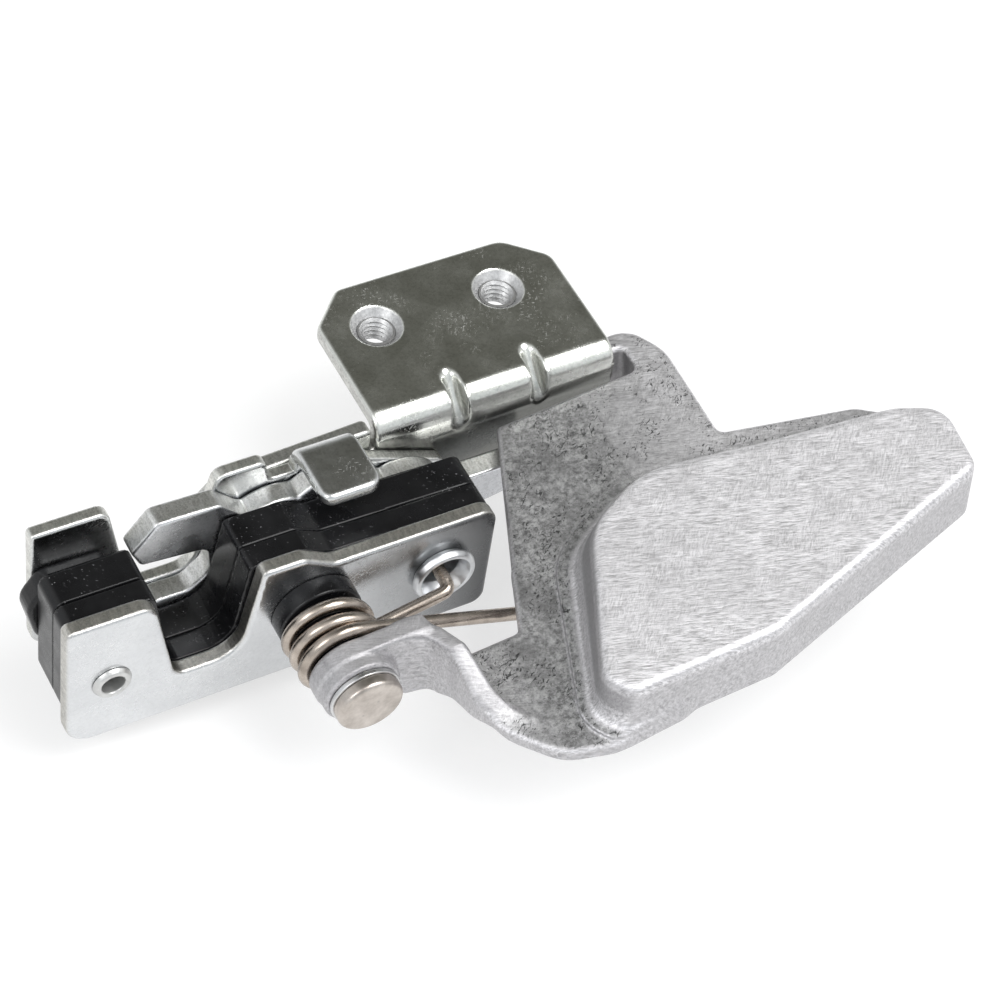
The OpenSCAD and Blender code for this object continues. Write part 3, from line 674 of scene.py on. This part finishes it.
WALL_OUTLINE = outline(rounded(
    (30, 3, 4), (66, 3, 4), (80, 8, 4), (TAB_X[1], 12, 4), (TAB_X[1], 23.2, 0), (TAB_X[0], 23.2, 0),
    (60.28, 20.9, 0.3), (59.4, 20.9, 0.3), (59.4, 26, 1.2), (34, 24.6, 4), (30, 20, 4)))
TAB_OUTLINE = outline(rounded(
    (TAB_X[0], 12, 0), (TAB_X[1], 12, 0), (TAB_X[1], 43, 3), (96.7, TAB_FAR, 4), (66.6, TAB_FAR, 2.5),
    (TAB_X[0], 42.5, 2.5)))
TONGUE_OUTLINE = outline(rounded(
    (TONGUE_X[0], 7.4, 2), (TONGUE_X[1], 7.4, 2.5), (TONGUE_X[1], 26, 0), (TONGUE_X[0], 26, 0)))
FORK_OUTLINE = outline(rounded(
    (17.6, 20.2, 1.2), (28.8, 19, 2), (29.4, 13.2, 3), (25.8, 9.9, 2.8), (18.8, 10, 1.5), (20.4, 4.6, 2),
    (36, 5.6, 3), (42, 12, 0), (42, 19, 0), (34.2, 24.6, 1.5), (30.4, 28.6, 1.5), (20, 29, 1.5),
    (16, 23.6, 1)))


def about_pin(r, degrees):
    """Point at a radius and angle about the pin."""
    a = math.radians(degrees)
    return PIN[0] + r * math.cos(a), PIN[1] + r * math.sin(a)


TOOTH_OUTLINE = outline([about_pin(r, a) for r, a in (
    (7, 50), (8, 46), (TOOTH_R, 46), (TOOTH_R, 54), (TOOTH_R, 60), (8, 76), (7, 70))])
NOSE_OUTLINE = outline(rounded(
    (50.9, 19.4, 0.8), (53.6, 15.9, 2), (55.4, 11.1, 2), (59.5, 8.2, 0), (62.5, 16.2, 0), (58.7, 20.9, 3),
    (52.7, 24.5, 1.5), (49.6, 21.8, 0.4)))
TAIL_OUTLINE = outline(rounded((62.5, 6.2, 0), (72, 6.2, 3), (88, 9.8, 1.2), (88, 15, 1.2), (62.5, 15, 0)))


def bend_line(y_wall, z_top, radius, y_end, z_start):
    """Middle line of a bent sheet: up a wall, round a quarter circle and out to y_end."""
    way = math.copysign(1, y_end - y_wall)
    a = np.linspace(0, np.pi / 2, 13)
    arc = np.stack([y_wall + way * radius * (1 - np.cos(a)), z_top - radius * (1 - np.sin(a))], 1)
    return np.concatenate([[(y_wall, z_start)], arc, [(y_end, z_top)]])


TONGUE_LINE = polyline(bend_line(BACK_MID, EAR_Z - BACK_HALF, 2.25, 7.0, 22.0))
TAB_LINE = polyline(bend_line(WALL_MID, TAB_Z - WALL_HALF, 2.3, 52.0, 20.0))


def front_plate(x, y, z):
    """Front sheet: its outline through the front layer, with soft pressed edges and three holes."""
    d = plate(FRONT_OUTLINE(x, z), y, *FRONT, 0.75)
    return drill(d, x, z, [PIN_HOLE, PAWL_HOLE, LEFT_HOLE])


def block_half(layer):
    """Field of one half of the block: the block's outline through the layer, with seats for the sleeves."""
    seats = [(*PIN, SLEEVE_R + SEAT_ROOM), (*PAWL, PAWL_SLEEVE_R + SEAT_ROOM), LEFT_HOLE]

    def field(x, y, z):
        """The plate of this layer, drilled."""
        return drill(plate(BLOCK_OUTLINE(x, z), y, *layer, 0.22), x, z, seats)

    return field


def block_rear(x, y, z):
    """Rear half of the block less a round room and an upright slot about each pivot, open to the rear."""
    d = block_half(BLOCK_REAR)(x, y, z)
    for cx, cz in (PIN, PAWL):
        d = cut(d, common(np.hypot(x - cx, z - cz) - ROOM_R, ROOM_FLOOR - y, 0.2), 0.3)
        beside = np.abs(x - cx - EYE_DX) - SLOT_HALF_X
        above = np.abs(z - cz - SLOT_UP) - SLOT_HALF_Z
        d = cut(d, np.maximum(np.maximum(beside, above), ROOM_FLOOR - y), 0.2)
    return d


def spacer(x, y, z):
    """Black lobe: its outline through the spacer's layer, with the left rivet's hole."""
    return drill(plate(SPACER_OUTLINE(x, z), y, *SPACER_LAYER, 0.7), x, z, [LEFT_HOLE])


def back_plate(x, y, z):
    """Back sheet, joined to its tongue: half a thickness about the bend line, within the tongue's outline."""
    d = plate(BACK_OUTLINE(x, z), y, *BACK, SHEET_EDGE)
    d = drill(d, x, z, [PIN_HOLE, PAWL_HOLE, LEFT_HOLE])
    tongue = common(TONGUE_LINE(y, z) - BACK_HALF, TONGUE_OUTLINE(x, y), 1.1)
    return join(d, tongue, 0.25)


def tab_bracket(x, y, z):
    """Wall sheet joined to its tab: half a thickness about the bend line, within the tab's outline. A dart
    is a rib behind the bend with a groove before it. A tapped hole is a collar with a coned bore."""
    wall = plate(WALL_OUTLINE(x, z), y, *WALL, SHEET_EDGE)
    wall = drill(wall, x, z, [PIN_HOLE, PAWL_HOLE])
    peened = PIN_HOLE[2] + np.maximum(y - PEEN_Y, 0)
    wall = cut(wall, np.hypot(x - PIN[0], z - PIN[1]) - peened, 0.2)
    tab = common(TAB_LINE(y, z) - WALL_HALF, TAB_OUTLINE(x, y), 1.0)
    d = join(wall, tab, 0.25)
    along = (y - DART_AT[0] - z + DART_AT[1]) / math.sqrt(2)
    behind = np.maximum(RIB_FACE - y, RIB_FACE - (TAB_Z + WALL[0] - z))
    for cx in DARTS_X:
        rib = common(np.abs(x - cx) - DART_R - 0.3, behind, 0.5)
        d = join(d, common(rib, along - DART_REACH, 0.8), 0.8)
        d = cut(d, np.where(along > 0, np.hypot(x - cx, along), np.abs(x - cx)) - DART_R, 0.7)
    for cx in HOLES_X:
        r = np.hypot(x - cx, y - HOLE_Y)
        d = join(d, plate(r - COLLAR_R, z, COLLAR_Z, TAB_Z - 1, 0.4), 0.8)
        sink = np.maximum(z - (TAB_Z - SINK_DEPTH), 0)
        d = cut(d, r - BORE_R - SINK_SLOPE * sink, 0.2)
    return d


def lever(pivot, hub_r, sleeve_r, arm, other_arm):
    """Field of a plate that turns on a sleeve: round hub joined to two arms, with a bore and a spring eye."""
    holes = [(*pivot, sleeve_r + BORE_ROOM), (pivot[0] + EYE_DX, pivot[1] - EYE_DZ, EYE_HOLE_R)]

    def field(x, y, z):
        """Hub and arms, drilled."""
        hub = plate(np.hypot(x - pivot[0], z - pivot[1]) - hub_r, y, *FORK_LAYER, LEVER_EDGE)
        arms = plate(np.minimum(arm(x, z), other_arm(x, z)), y, *FORK_LAYER, LEVER_EDGE)
        return drill(join(hub, arms, 0.3), x, z, holes, 0.2)

    return field


def sheet_paint(name, points, normals):
    """Paint of one sheet: shear on cut edges, which on tab and tongue leaves out the bend; satin inside the
    countersinks; painted shade on the side that faces the front, on the front plate and under the tab's bend."""
    x, y, z = points.T
    edge = shear(np.abs(normals[:, 1]))
    facing_front = normals[:, 1] < -0.3
    satin = np.zeros(len(points))
    painted_shade = np.zeros(len(points))
    if name == "front_plate":
        # painted shade: the front face grows darker towards the right end, a painted reflection of the
        # handle's shaded underside
        painted_shade = 0.95 * fade(x, 34, 36) ** 1.7 * facing_front
    if name == "back_plate":
        edge *= 1 - 0.85 * fade(z, 26.6, 1) * (x > 44)
    if name == "tab_bracket":
        on_tab = fade(z, 20.9, 0.4) * (x > 60.1)
        edge = edge * (1 - on_tab) + on_tab * shear(np.hypot(normals[:, 1], normals[:, 2]))
        hole = np.min([np.hypot(x - cx, y - HOLE_Y) for cx in HOLES_X], axis=0)
        satin = (hole < SINK_R) * fade(z, TAB_Z - 0.08, -0.1)
        # painted shade: the wall's front face grows darker downwards below the tab's bend
        painted_shade = 0.8 * fade(z, 22.6, -2) * facing_front
    return {"shear": edge, "satin": satin, "painted_shade": painted_shade}


FORK = lever(PIN, HUB_R, SLEEVE_R, FORK_OUTLINE, TOOTH_OUTLINE)
PAWL_LEVER = lever(PAWL, PAWL_HUB_R, PAWL_SLEEVE_R, NOSE_OUTLINE, TAIL_OUTLINE)
# name, field, low and high corner, material, slot, body, grid step
SHEETS = (
    ("front_plate", front_plate, (0, 0, 0), (71.5, 3, 28), ZINC_FRONT, "zinc_front", "base", 0.38),
    ("housing_front", block_half(BLOCK_FRONT), (0.8, 3, 3), (71.5, 7.3, 26.3), BLACK, "black_moulding",
     "base", 0.42),
    ("housing_rear", block_rear, (0.8, 7.3, 3), (71.5, 13.3, 26.3), BLACK, "black_moulding", "base", 0.42),
    ("left_spacer", spacer, (-0.9, 13.3, 8), (14.2, 17.5, 22.8), BLACK, "black_moulding", "base", 0.4),
    ("back_plate", back_plate, (1.5, 7.4, 2), (72, 20, 30), ZINC_BACK, "zinc_back", "base", 0.38),
    ("tab_bracket", tab_bracket, (30, 20, 3), (103.3, 49, 26.5), ZINC_BRACKET, "zinc_bracket", "base", 0.38),
    ("fork", FORK, (16, 13.4, 4.6), (52.7, 17.4, 29), ZINC_FORK, "fork_steel", "fork", 0.34),
    ("pawl", PAWL_LEVER, (49.6, 13.4, 5.4), (88, 17.4, 24.5), ZINC_FORK, "fork_steel", "pawl", 0.36),
)
for name, field, low, high, material, slot, body, step in SHEETS:
    points, quads, normals = net(field, low, high, step)
    piece(name + "_skin", points, quads, material, [name], body, normals,
          sheet_paint(name, points, normals))


# Handle casting

WEB_OUTLINE = outline(rounded(
    (13.6, -22, 3), (16.2, -33, 8), (22, -40.2, 8), (30, -42.6, 6), (42, -41.4, 2), (46, -36, 0),
    (96, -25, 0), (97, -17, 0), (98.8, -8, 2), (94, -4.2, 4), (72.3, 1.4, 1.5), (72.9, 20, 7),
    (69.5, 26.9, 5), (60, 26.9, 1), (60, 23.5, 1), (66.9, 23.5, 1), (66.9, 18.5, 1.6), (41.2, 18.5, 0.8),
    (26.2, -17.8, 1.2), (14.4, -17.8, 0)))
PADDLE_TOP = outline(rounded(
    (42, -11.4, 12), (30, -36.6, 4), (33.2, -40.9, 2.5), (57.6, -41.2, 6), (100.5, -28.8, 3),
    (102.1, -16.4, 5), (95.2, -13.1, 8), (72.4, -9.4, 16), (54, -5.6, 14), step=4))
PADDLE_BASE = outline(rounded(
    (38.4, -9.8, 12), (28.6, -36.8, 5), (31.6, -41.3, 3), (57.6, -41.5, 6), (100.6, -28.9, 3),
    (102.2, -16.4, 5), (94.6, -8.2, 8), (72.4, -4.4, 14), (52, -1.8, 12), step=4))
ARM_OUTLINE = outline(rounded(
    (0, -6.6, 0), (8, -9, 2), (12.4, -9, 0), (12.4, 5.6, 0), (9, 6.1, 3), (-1.2, 6.45, 0)))
RAIL_OUTLINE = outline(rounded(
    (8, -15.6, 0), (11.4, -16.8, 3), (13.2, -20.6, 4), (13.6, -27, 6), (16.2, -33, 6), (20.6, -38.2, 0),
    (23.6, -36.4, 0), (20, -32, 6), (17.4, -27, 6), (16.2, -20, 5), (14.2, -15.6, 3), (11.4, -12.2, 2.5),
    (8, -12.2, 0)))
RIB_OUTLINE = outline([(28, -15), (31, -15), (33, -7.4), (30.6, -7.4)])
SKIRT_OUTLINE = outline(rounded(
    (66.9, 6, 0), (72.3, 6, 0), (72.7, 20, 7), (69.4, 26.9, 5), (60, 26.9, 1), (60, 23.5, 1),
    (66.9, 23.5, 1)))


def handle(x, y, z):
    """Web, hollow paddle with a filleted foot, eye with its boss, and the rail that ties the eye to the web.
    The paddle's wall runs straight from its base outline to its top outline. The rail's roof falls and its
    floor rises towards the front."""
    web = plate(WEB_OUTLINE(x, y), z, *WEB_Z, 0.9)
    web = join(web, plate(RIB_OUTLINE(x, y), z, *RIB_Z, 0.4), 0.8)
    web = join(web, plate(SKIRT_OUTLINE(x, y), z, *SKIRT_Z, 0.5), 0.3)
    rise = np.clip((z - WEB_Z[0]) / (PADDLE_Z - WEB_Z[0]), 0, 1)
    top, base = PADDLE_TOP(x, y), PADDLE_BASE(x, y)
    wall = base * (1 - rise) + top * rise
    foot = common(base - FOOT_OUT, WEB_OUTLINE(x, y) + 0.6, 0.5)
    web = join(web, plate(foot, z, WEB_Z[0], WEB_Z[1] + FOOT_UP, 0.3), 0.4)
    d = join(web, plate(wall, z, WEB_Z[0], PADDLE_Z, 1.4), 2.4)
    hollow = plate(top + PADDLE_WALL + 1.5 * rise, z, -9, PADDLE_Z - PADDLE_WALL, 1.6)
    d = cut(d, hollow, 0.5)
    round_eye = np.hypot(x, z)
    arm = join(plate(round_eye - EYE_R, y, *EYE_Y, 0.7), plate(ARM_OUTLINE(x, z), y, *EYE_Y, 0.7), 0.2)
    arm = join(arm, plate(round_eye - BOSS_R, y, BOSS_Y, EYE_Y[1] - 1, 0.5), 0.3)
    roof = (z - RAIL_ROOF[0] + np.maximum(RAIL_ROOF[1] - y, 0) * RAIL_ROOF[2]) * 0.9
    floor = (RAIL_FLOOR[0] + np.maximum(RAIL_FLOOR[1] - y, 0) * RAIL_FLOOR[2] - z) * 0.93
    rail = common(common(RAIL_OUTLINE(x, y), roof, 1.2), floor, 1.0)
    d = join(d, join(arm, rail, 1.2), 1.6)
    return cut(d, common(round_eye - BUSH_R, y + 8, 0.2), 0.4)


def from_handle(p):
    """Points or normals of the handle's own frame, turned up by the tilt about the pin's axis."""
    c, s = math.cos(TILT), math.sin(TILT)
    x, y, z = p.T
    return np.stack([x * c - z * s, y, x * s + z * c], 1)


def casting_paint(points, normals):
    """Paint of the casting: pitted on the web's open face, and a sum of places, each a fade of position
    times a fade of the way the surface faces, that marks wear and painted highlight and shade."""
    x, y, z = points.T
    nx, ny, up = normals.T
    rim = np.clip(1 - np.abs(up - 0.6) / 0.3, 0, 1)
    pitted = fade(up, 0.85, 0.1) * (z < 0)
    wear_and_painted_light = 0.28 + 0.10 * (1 - np.clip(up, 0, 1))
    # brighter: the paddle's face, the eye, the front walls and the lobe's open face
    wear_and_painted_light += 0.70 * fade(z, 6.3, 1.6)
    wear_and_painted_light += 0.06 * fade(x, 22, -6) * fade(y, -11, -2)
    wear_and_painted_light += 0.06 * fade(ny, -0.45, -0.3) * fade(y, -20, -6)
    wear_and_painted_light += 0.36 * fade(x, 52, 16) * fade(y, -8, 6) * np.clip(2 * up, 0, 1)
    # painted shade: the walls of the lobe's notch are darker
    wear_and_painted_light -= 0.30 * (np.abs(x - 63.6) < 3.9) * (y > 18.6) * (y < 23.9) * (up < 0.5)
    # painted reflection and shade on the paddle's left wall: brighter along its foot, darker above
    foot = np.clip((2.2 - np.abs(z - 0.9)) / 1.2, 0, 1) * (x > 26)
    wear_and_painted_light += 0.40 * fade(nx, -0.2, -0.4) * foot
    wear_and_painted_light -= 0.20 * fade(nx, -0.3, -0.3) * fade(z, 2.6, 1) * (x > 26)
    # edges: painted highlight on the web's edges, painted shade round the paddle's face
    wear_and_painted_light += 0.60 * rim * (z < 0)
    wear_and_painted_light -= 0.45 * rim * (z > 5)
    # painted shade: the middle of the web is darker
    wear_and_painted_light -= 0.16 * pitted * fade(x, 20, 4) * (x < 56)
    return {"wear_and_painted_light": np.clip(wear_and_painted_light, 0, 1), "pitted": pitted}


points, quads, normals = net(handle, (-7, -42.8, -11), (102.2, 27, 8.4), 0.45)
piece("handle_casting", from_handle(points) + np.array([PIN[0], 0, PIN[1]]), quads, CAST,
      ["handle"], "handle", from_handle(normals), casting_paint(points, normals))


# Turned pieces

# profiles as (y, radius, corner radius); a solid one stops just short of the axis
AXIS = 0.001
HEAD_Y = (-20.82, -18.72)
HEAD_R = 5.4
PIN_PROFILE = rounded(
    (HEAD_Y[0], AXIS, 0), (HEAD_Y[0], HEAD_R, 0.8), (HEAD_Y[1], HEAD_R, 0.25), (HEAD_Y[1], PIN_R, 0),
    (PEEN_Y, PIN_R, 0), (WALL[1], 5.2, 0.1), (WALL[1], AXIS, 0), step=15)
LEFT_PROFILE = rounded(
    (-0.9, 1.9, 0.35), (-0.9, 2.75, 0.4), (-0.02, 3.3, 0.15), (-0.02, LEFT_RIVET_R, 0),
    (20.02, LEFT_RIVET_R, 0), (20.02, 3.3, 0.15), (20.9, 2.7, 0.3), (20.9, 1.9, 0.3), step=15)
PAWL_PROFILE = rounded(
    (-1.9, 4.3, 0.25), (-1.9, 5.0, 0.35), (-0.9, 5.4, 0.4), (-0.02, 4.8, 0.2), (-0.02, PAWL_RIVET_R, 0),
    (23.02, PAWL_RIVET_R, 0), (23.02, 5.4, 0.15), (23.4, 5.0, 0.15), (23.4, 3.4, 0.2), (0.5, 3.4, 0.5),
    step=15)
SPOOL_PROFILE = rounded(
    (-11.9, PIN_HOLE[2], 0.1), (-11.9, 5.05, 0.2), (-3.4, 5.05, 0.2), (-3.4, 6.9, 0.5), (-0.03, 6.9, 0.3),
    (-0.03, PIN_HOLE[2], 0.1), step=15)
WASHER_PROFILE = ring(-18.7, -17.9, PIN_HOLE[2], 5.7, 0.15)
BUSH_PROFILE = ring(-17.78, -12.22, 4.05, 5.04, 0.15)
SLEEVE_PROFILE = ring(*SLEEVE_Y, PIN_HOLE[2], SLEEVE_R, 0.2)
PAWL_SLEEVE_PROFILE = ring(*SLEEVE_Y, PAWL_HOLE[2], PAWL_SLEEVE_R, 0.2)
# name, profile, pivot, material, slot, body
TURNED = (
    ("main_pin", PIN_PROFILE, PIN, PIN_STEEL, "pin_steel", "base"),
    ("left_rivet", LEFT_PROFILE, LEFT_RIVET, LEFT_STEEL, "rivet_steel", "base"),
    ("pawl_rivet", PAWL_PROFILE, PAWL, RIVET_STEEL, "rivet_steel", "base"),
    ("spool", SPOOL_PROFILE, PIN, BLACK, "black_moulding", "base"),
    ("thrust_washer", WASHER_PROFILE, PIN, SLEEVE_STEEL, "sleeve_steel", "base"),
    ("eye_bush", BUSH_PROFILE, PIN, BRONZE, "bush_bronze", "handle"),
    ("fork_sleeve", SLEEVE_PROFILE, PIN, SLEEVE_STEEL, "sleeve_steel", "base"),
    ("pawl_sleeve", PAWL_SLEEVE_PROFILE, PAWL, SLEEVE_STEEL, "sleeve_steel", "base"),
)
for name, profile, centre, material, slot, body in TURNED:
    points, quads = lathe(profile, centre)
    piece(name + "_turned", points, quads[:, ::-1], material, [name], body)


def thread(x, y):
    """Tapped wall of one hole: radius is a saw-tooth of height less turn, over a plain outer skin."""
    pitch, core, depth, skin_r = 1.0, 2.45, 0.5, 3.05
    low, high = COLLAR_Z + 0.1, TAB_Z - 1.3
    rows, columns = 150, 72
    angle = np.linspace(0, 2 * np.pi, columns, endpoint=False)[None, :]
    z = np.linspace(low, high, rows)[:, None]
    phase = (z / pitch - angle / (2 * np.pi)) % 1.0
    r = np.concatenate([core + depth * np.abs(2 * phase - 1), np.full((2, columns), skin_r)])
    z = np.concatenate([z, [[high], [low]]])
    points = np.stack([x + r * np.cos(angle), y + r * np.sin(angle), z + 0 * angle], -1).reshape(-1, 3)
    return points, grid_faces(rows + 2, columns, True, True)[:, ::-1]


for name, x in zip(("left_thread", "right_thread"), HOLES_X):
    points, quads = thread(x, HOLE_Y)
    piece(name, points, quads, ZINC_BRACKET, paint={"satin": np.ones(len(points))})


# Springs

def about(centre, r, angles, y):
    """Points at radius r and the given angles about a Y axis through centre."""
    return np.stack(np.broadcast_arrays(
        centre[0] + r * np.cos(angles), y, centre[1] + r * np.sin(angles)), -1)


def handle_spring_path():
    """Hook in the rivet, short leg to the bottom of the coil, about two and a half turns towards the front,
    long leg off the top. Both legs leave the coil along its tangent."""
    sweep = np.linspace(SHORT_ANGLE - math.pi / 2, math.pi / 2 - LONG_ANGLE - 6 * math.pi, 240)
    advance = np.clip((-math.pi - sweep) / (2 * math.pi), 0, 2) / 2
    coil = about(PIN, COIL_R, sweep, COIL_Y[0] + (COIL_Y[1] - COIL_Y[0]) * advance)
    elbow = coil[0] + SHORT_LEG * np.array([math.cos(SHORT_ANGLE), 0, math.sin(SHORT_ANGLE)])
    end = coil[-1] + LONG_LEG * np.array([math.cos(LONG_ANGLE), 0, -math.sin(LONG_ANGLE)])
    return np.concatenate([[elbow + (0, HOOK_DEPTH, 0), elbow], coil, [end]])


def small_spring_path(centre):
    """Leg standing in the block's slot, one turn under the hub, leg down and hook into the eye."""
    steps = 90
    coil = about(centre, SMALL_COIL_R, np.linspace(0, -2 * math.pi, steps), np.linspace(*SMALL_COIL_Y, steps))
    corner = coil[-1] + (0, 0, -EYE_DZ)
    return np.concatenate([[coil[0] + (0, 0, STANDING_LEG)], coil, [corner, corner + (0, SMALL_HOOK, 0)]])


# name, path, wire radius, moving body, pivot, Y where the blend starts and ends, softness of the bends
SPRINGS = (
    ("handle_spring", handle_spring_path(), WIRE_R, "handle", PIN, COIL_Y, 3),
    ("fork_spring", small_spring_path(PIN), SMALL_WIRE_R, "fork", PIN, SMALL_BLEND_Y, 2),
    ("pawl_spring", small_spring_path(PAWL), SMALL_WIRE_R, "pawl", PAWL, SMALL_BLEND_Y, 2),
)
for name, path, radius, body, (cx, cz), span, spread in SPRINGS:
    points, faces = tube(smooth_path(path, spread=spread), radius)
    spring = piece(name + "_wire", points, faces, WIRE, [name], None)
    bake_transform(spring)


# Stage, light and camera

FLOOR_DROP = 0.006
FLOOR_HALF = 4.0
FLOOR_MATTE = rgba(0.80)
FLOOR_SHADE = rgba(0.40)
FLOOR_GLOW = 0.62
LAMP_AIM = (0, 0, -0.01)
# pale all round, with a dark card above and behind that the level sheet faces mirror
CARD = (0.37, 0.52, 0.77)
SKY = ((0.0, (0.80, 0.83, 0.86)), (0.48, (0.98, 0.99, 1.00)), (0.70, (0.58, 0.59, 0.59)),
       (0.92, (0.15, 0.15, 0.135)), (1.0, (0.12, 0.12, 0.105)))


def pale_floor():
    """Floor finish: matte for the light it gives back, and for camera, mirror and glass rays a darker matte
    plus a steady glow, so that it reads as white and keeps the shadow."""
    material = bpy.data.materials.new("pale_floor")
    material.use_nodes = True
    tree = material.node_tree
    tree.nodes.clear()
    matte = add_node(tree, "ShaderNodeBsdfDiffuse", {"Color": FLOOR_MATTE}).outputs[0]
    shade = add_node(tree, "ShaderNodeBsdfDiffuse", {"Color": FLOOR_SHADE}).outputs[0]
    glow = add_node(tree, "ShaderNodeEmission", {"Color": (1, 1, 1, 1), "Strength": FLOOR_GLOW}).outputs[0]
    seen = add_node(tree, "ShaderNodeAddShader", {0: shade, 1: glow}).outputs[0]
    rays = add_node(tree, "ShaderNodeLightPath").outputs
    sight = rays["Is Camera Ray"]
    for kind in ("Is Glossy Ray", "Is Transmission Ray"):
        sight = add_node(tree, "ShaderNodeMath", {0: sight, 1: rays[kind]}, operation="MAXIMUM").outputs[0]
    pick = add_node(tree, "ShaderNodeMixShader", {0: sight, 1: matte, 2: seen}).outputs[0]
    add_node(tree, "ShaderNodeOutputMaterial", {"Surface": pick})
    return material


def studio_sky():
    """World whose colour is a ramp of the cosine between the direction and the card's."""
    world = bpy.data.worlds.new("studio")
    world.use_nodes = True
    tree = world.node_tree
    direction = add_node(tree, "ShaderNodeTexCoord").outputs["Generated"]
    facing = add_node(tree, "ShaderNodeVectorMath", {0: direction, 1: CARD}, operation="DOT_PRODUCT")
    tree.links.new(add_ramp(tree, facing.outputs["Value"], SKY), tree.nodes["Background"].inputs["Color"])
    return world


floor_z = CAD_BOX[0].z - FLOOR_DROP
floor_mesh = bpy.data.meshes.new("floor")
floor_mesh.from_pydata(
    [(x * FLOOR_HALF, y * FLOOR_HALF, floor_z) for x, y in ((-1, -1), (1, -1), (1, 1), (-1, 1))],
    [], [(0, 1, 2, 3)])
floor_mesh.materials.append(pale_floor())
floor = bpy.data.objects.new("floor", floor_mesh)
bpy.context.scene.collection.objects.link(floor)
bpy.context.scene.world = studio_sky()


def softbox(name, place, size, watts):
    """Square soft lamp that faces a point under the tab."""
    lamp = bpy.data.lights.new(name, "AREA")
    lamp.size = size
    lamp.energy = watts
    holder = bpy.data.objects.new(name, lamp)
    holder.location = place
    holder.rotation_mode = "QUATERNION"
    holder.rotation_quaternion = (Vector(LAMP_AIM) - Vector(place)).to_track_quat("-Z", "Y")
    bpy.context.scene.collection.objects.link(holder)


softbox("top_light", (0.36, -0.36, 0.98), 0.7, 9)
softbox("left_light", (-0.8, -0.3, 0.7), 0.5, 3)

# camera solved from the photograph: place in metres, lens in millimetres, the way it looks and its roll
CAMERA_AT = (-0.1842, -0.2865, 0.3668)
LENS, SENSOR = 111.6, 36.0
AZIMUTH, ELEVATION, ROLL = math.radians(35.3025), math.radians(50.4616), math.radians(9.9936)
scene = bpy.context.scene
scene.view_settings.view_transform = "Standard"
look = Vector((math.sin(AZIMUTH) * math.cos(ELEVATION), math.cos(AZIMUTH) * math.cos(ELEVATION),
               -math.sin(ELEVATION)))
camera = bpy.data.objects.new("camera", bpy.data.cameras.new("camera"))
camera.data.lens = LENS
camera.data.sensor_width = SENSOR
camera.location = CAMERA_AT
camera.rotation_mode = "QUATERNION"
camera.rotation_quaternion = look.to_track_quat("-Z", "Y") @ Matrix.Rotation(ROLL, 3, "Z").to_quaternion()
scene.collection.objects.link(camera)
scene.camera = camera
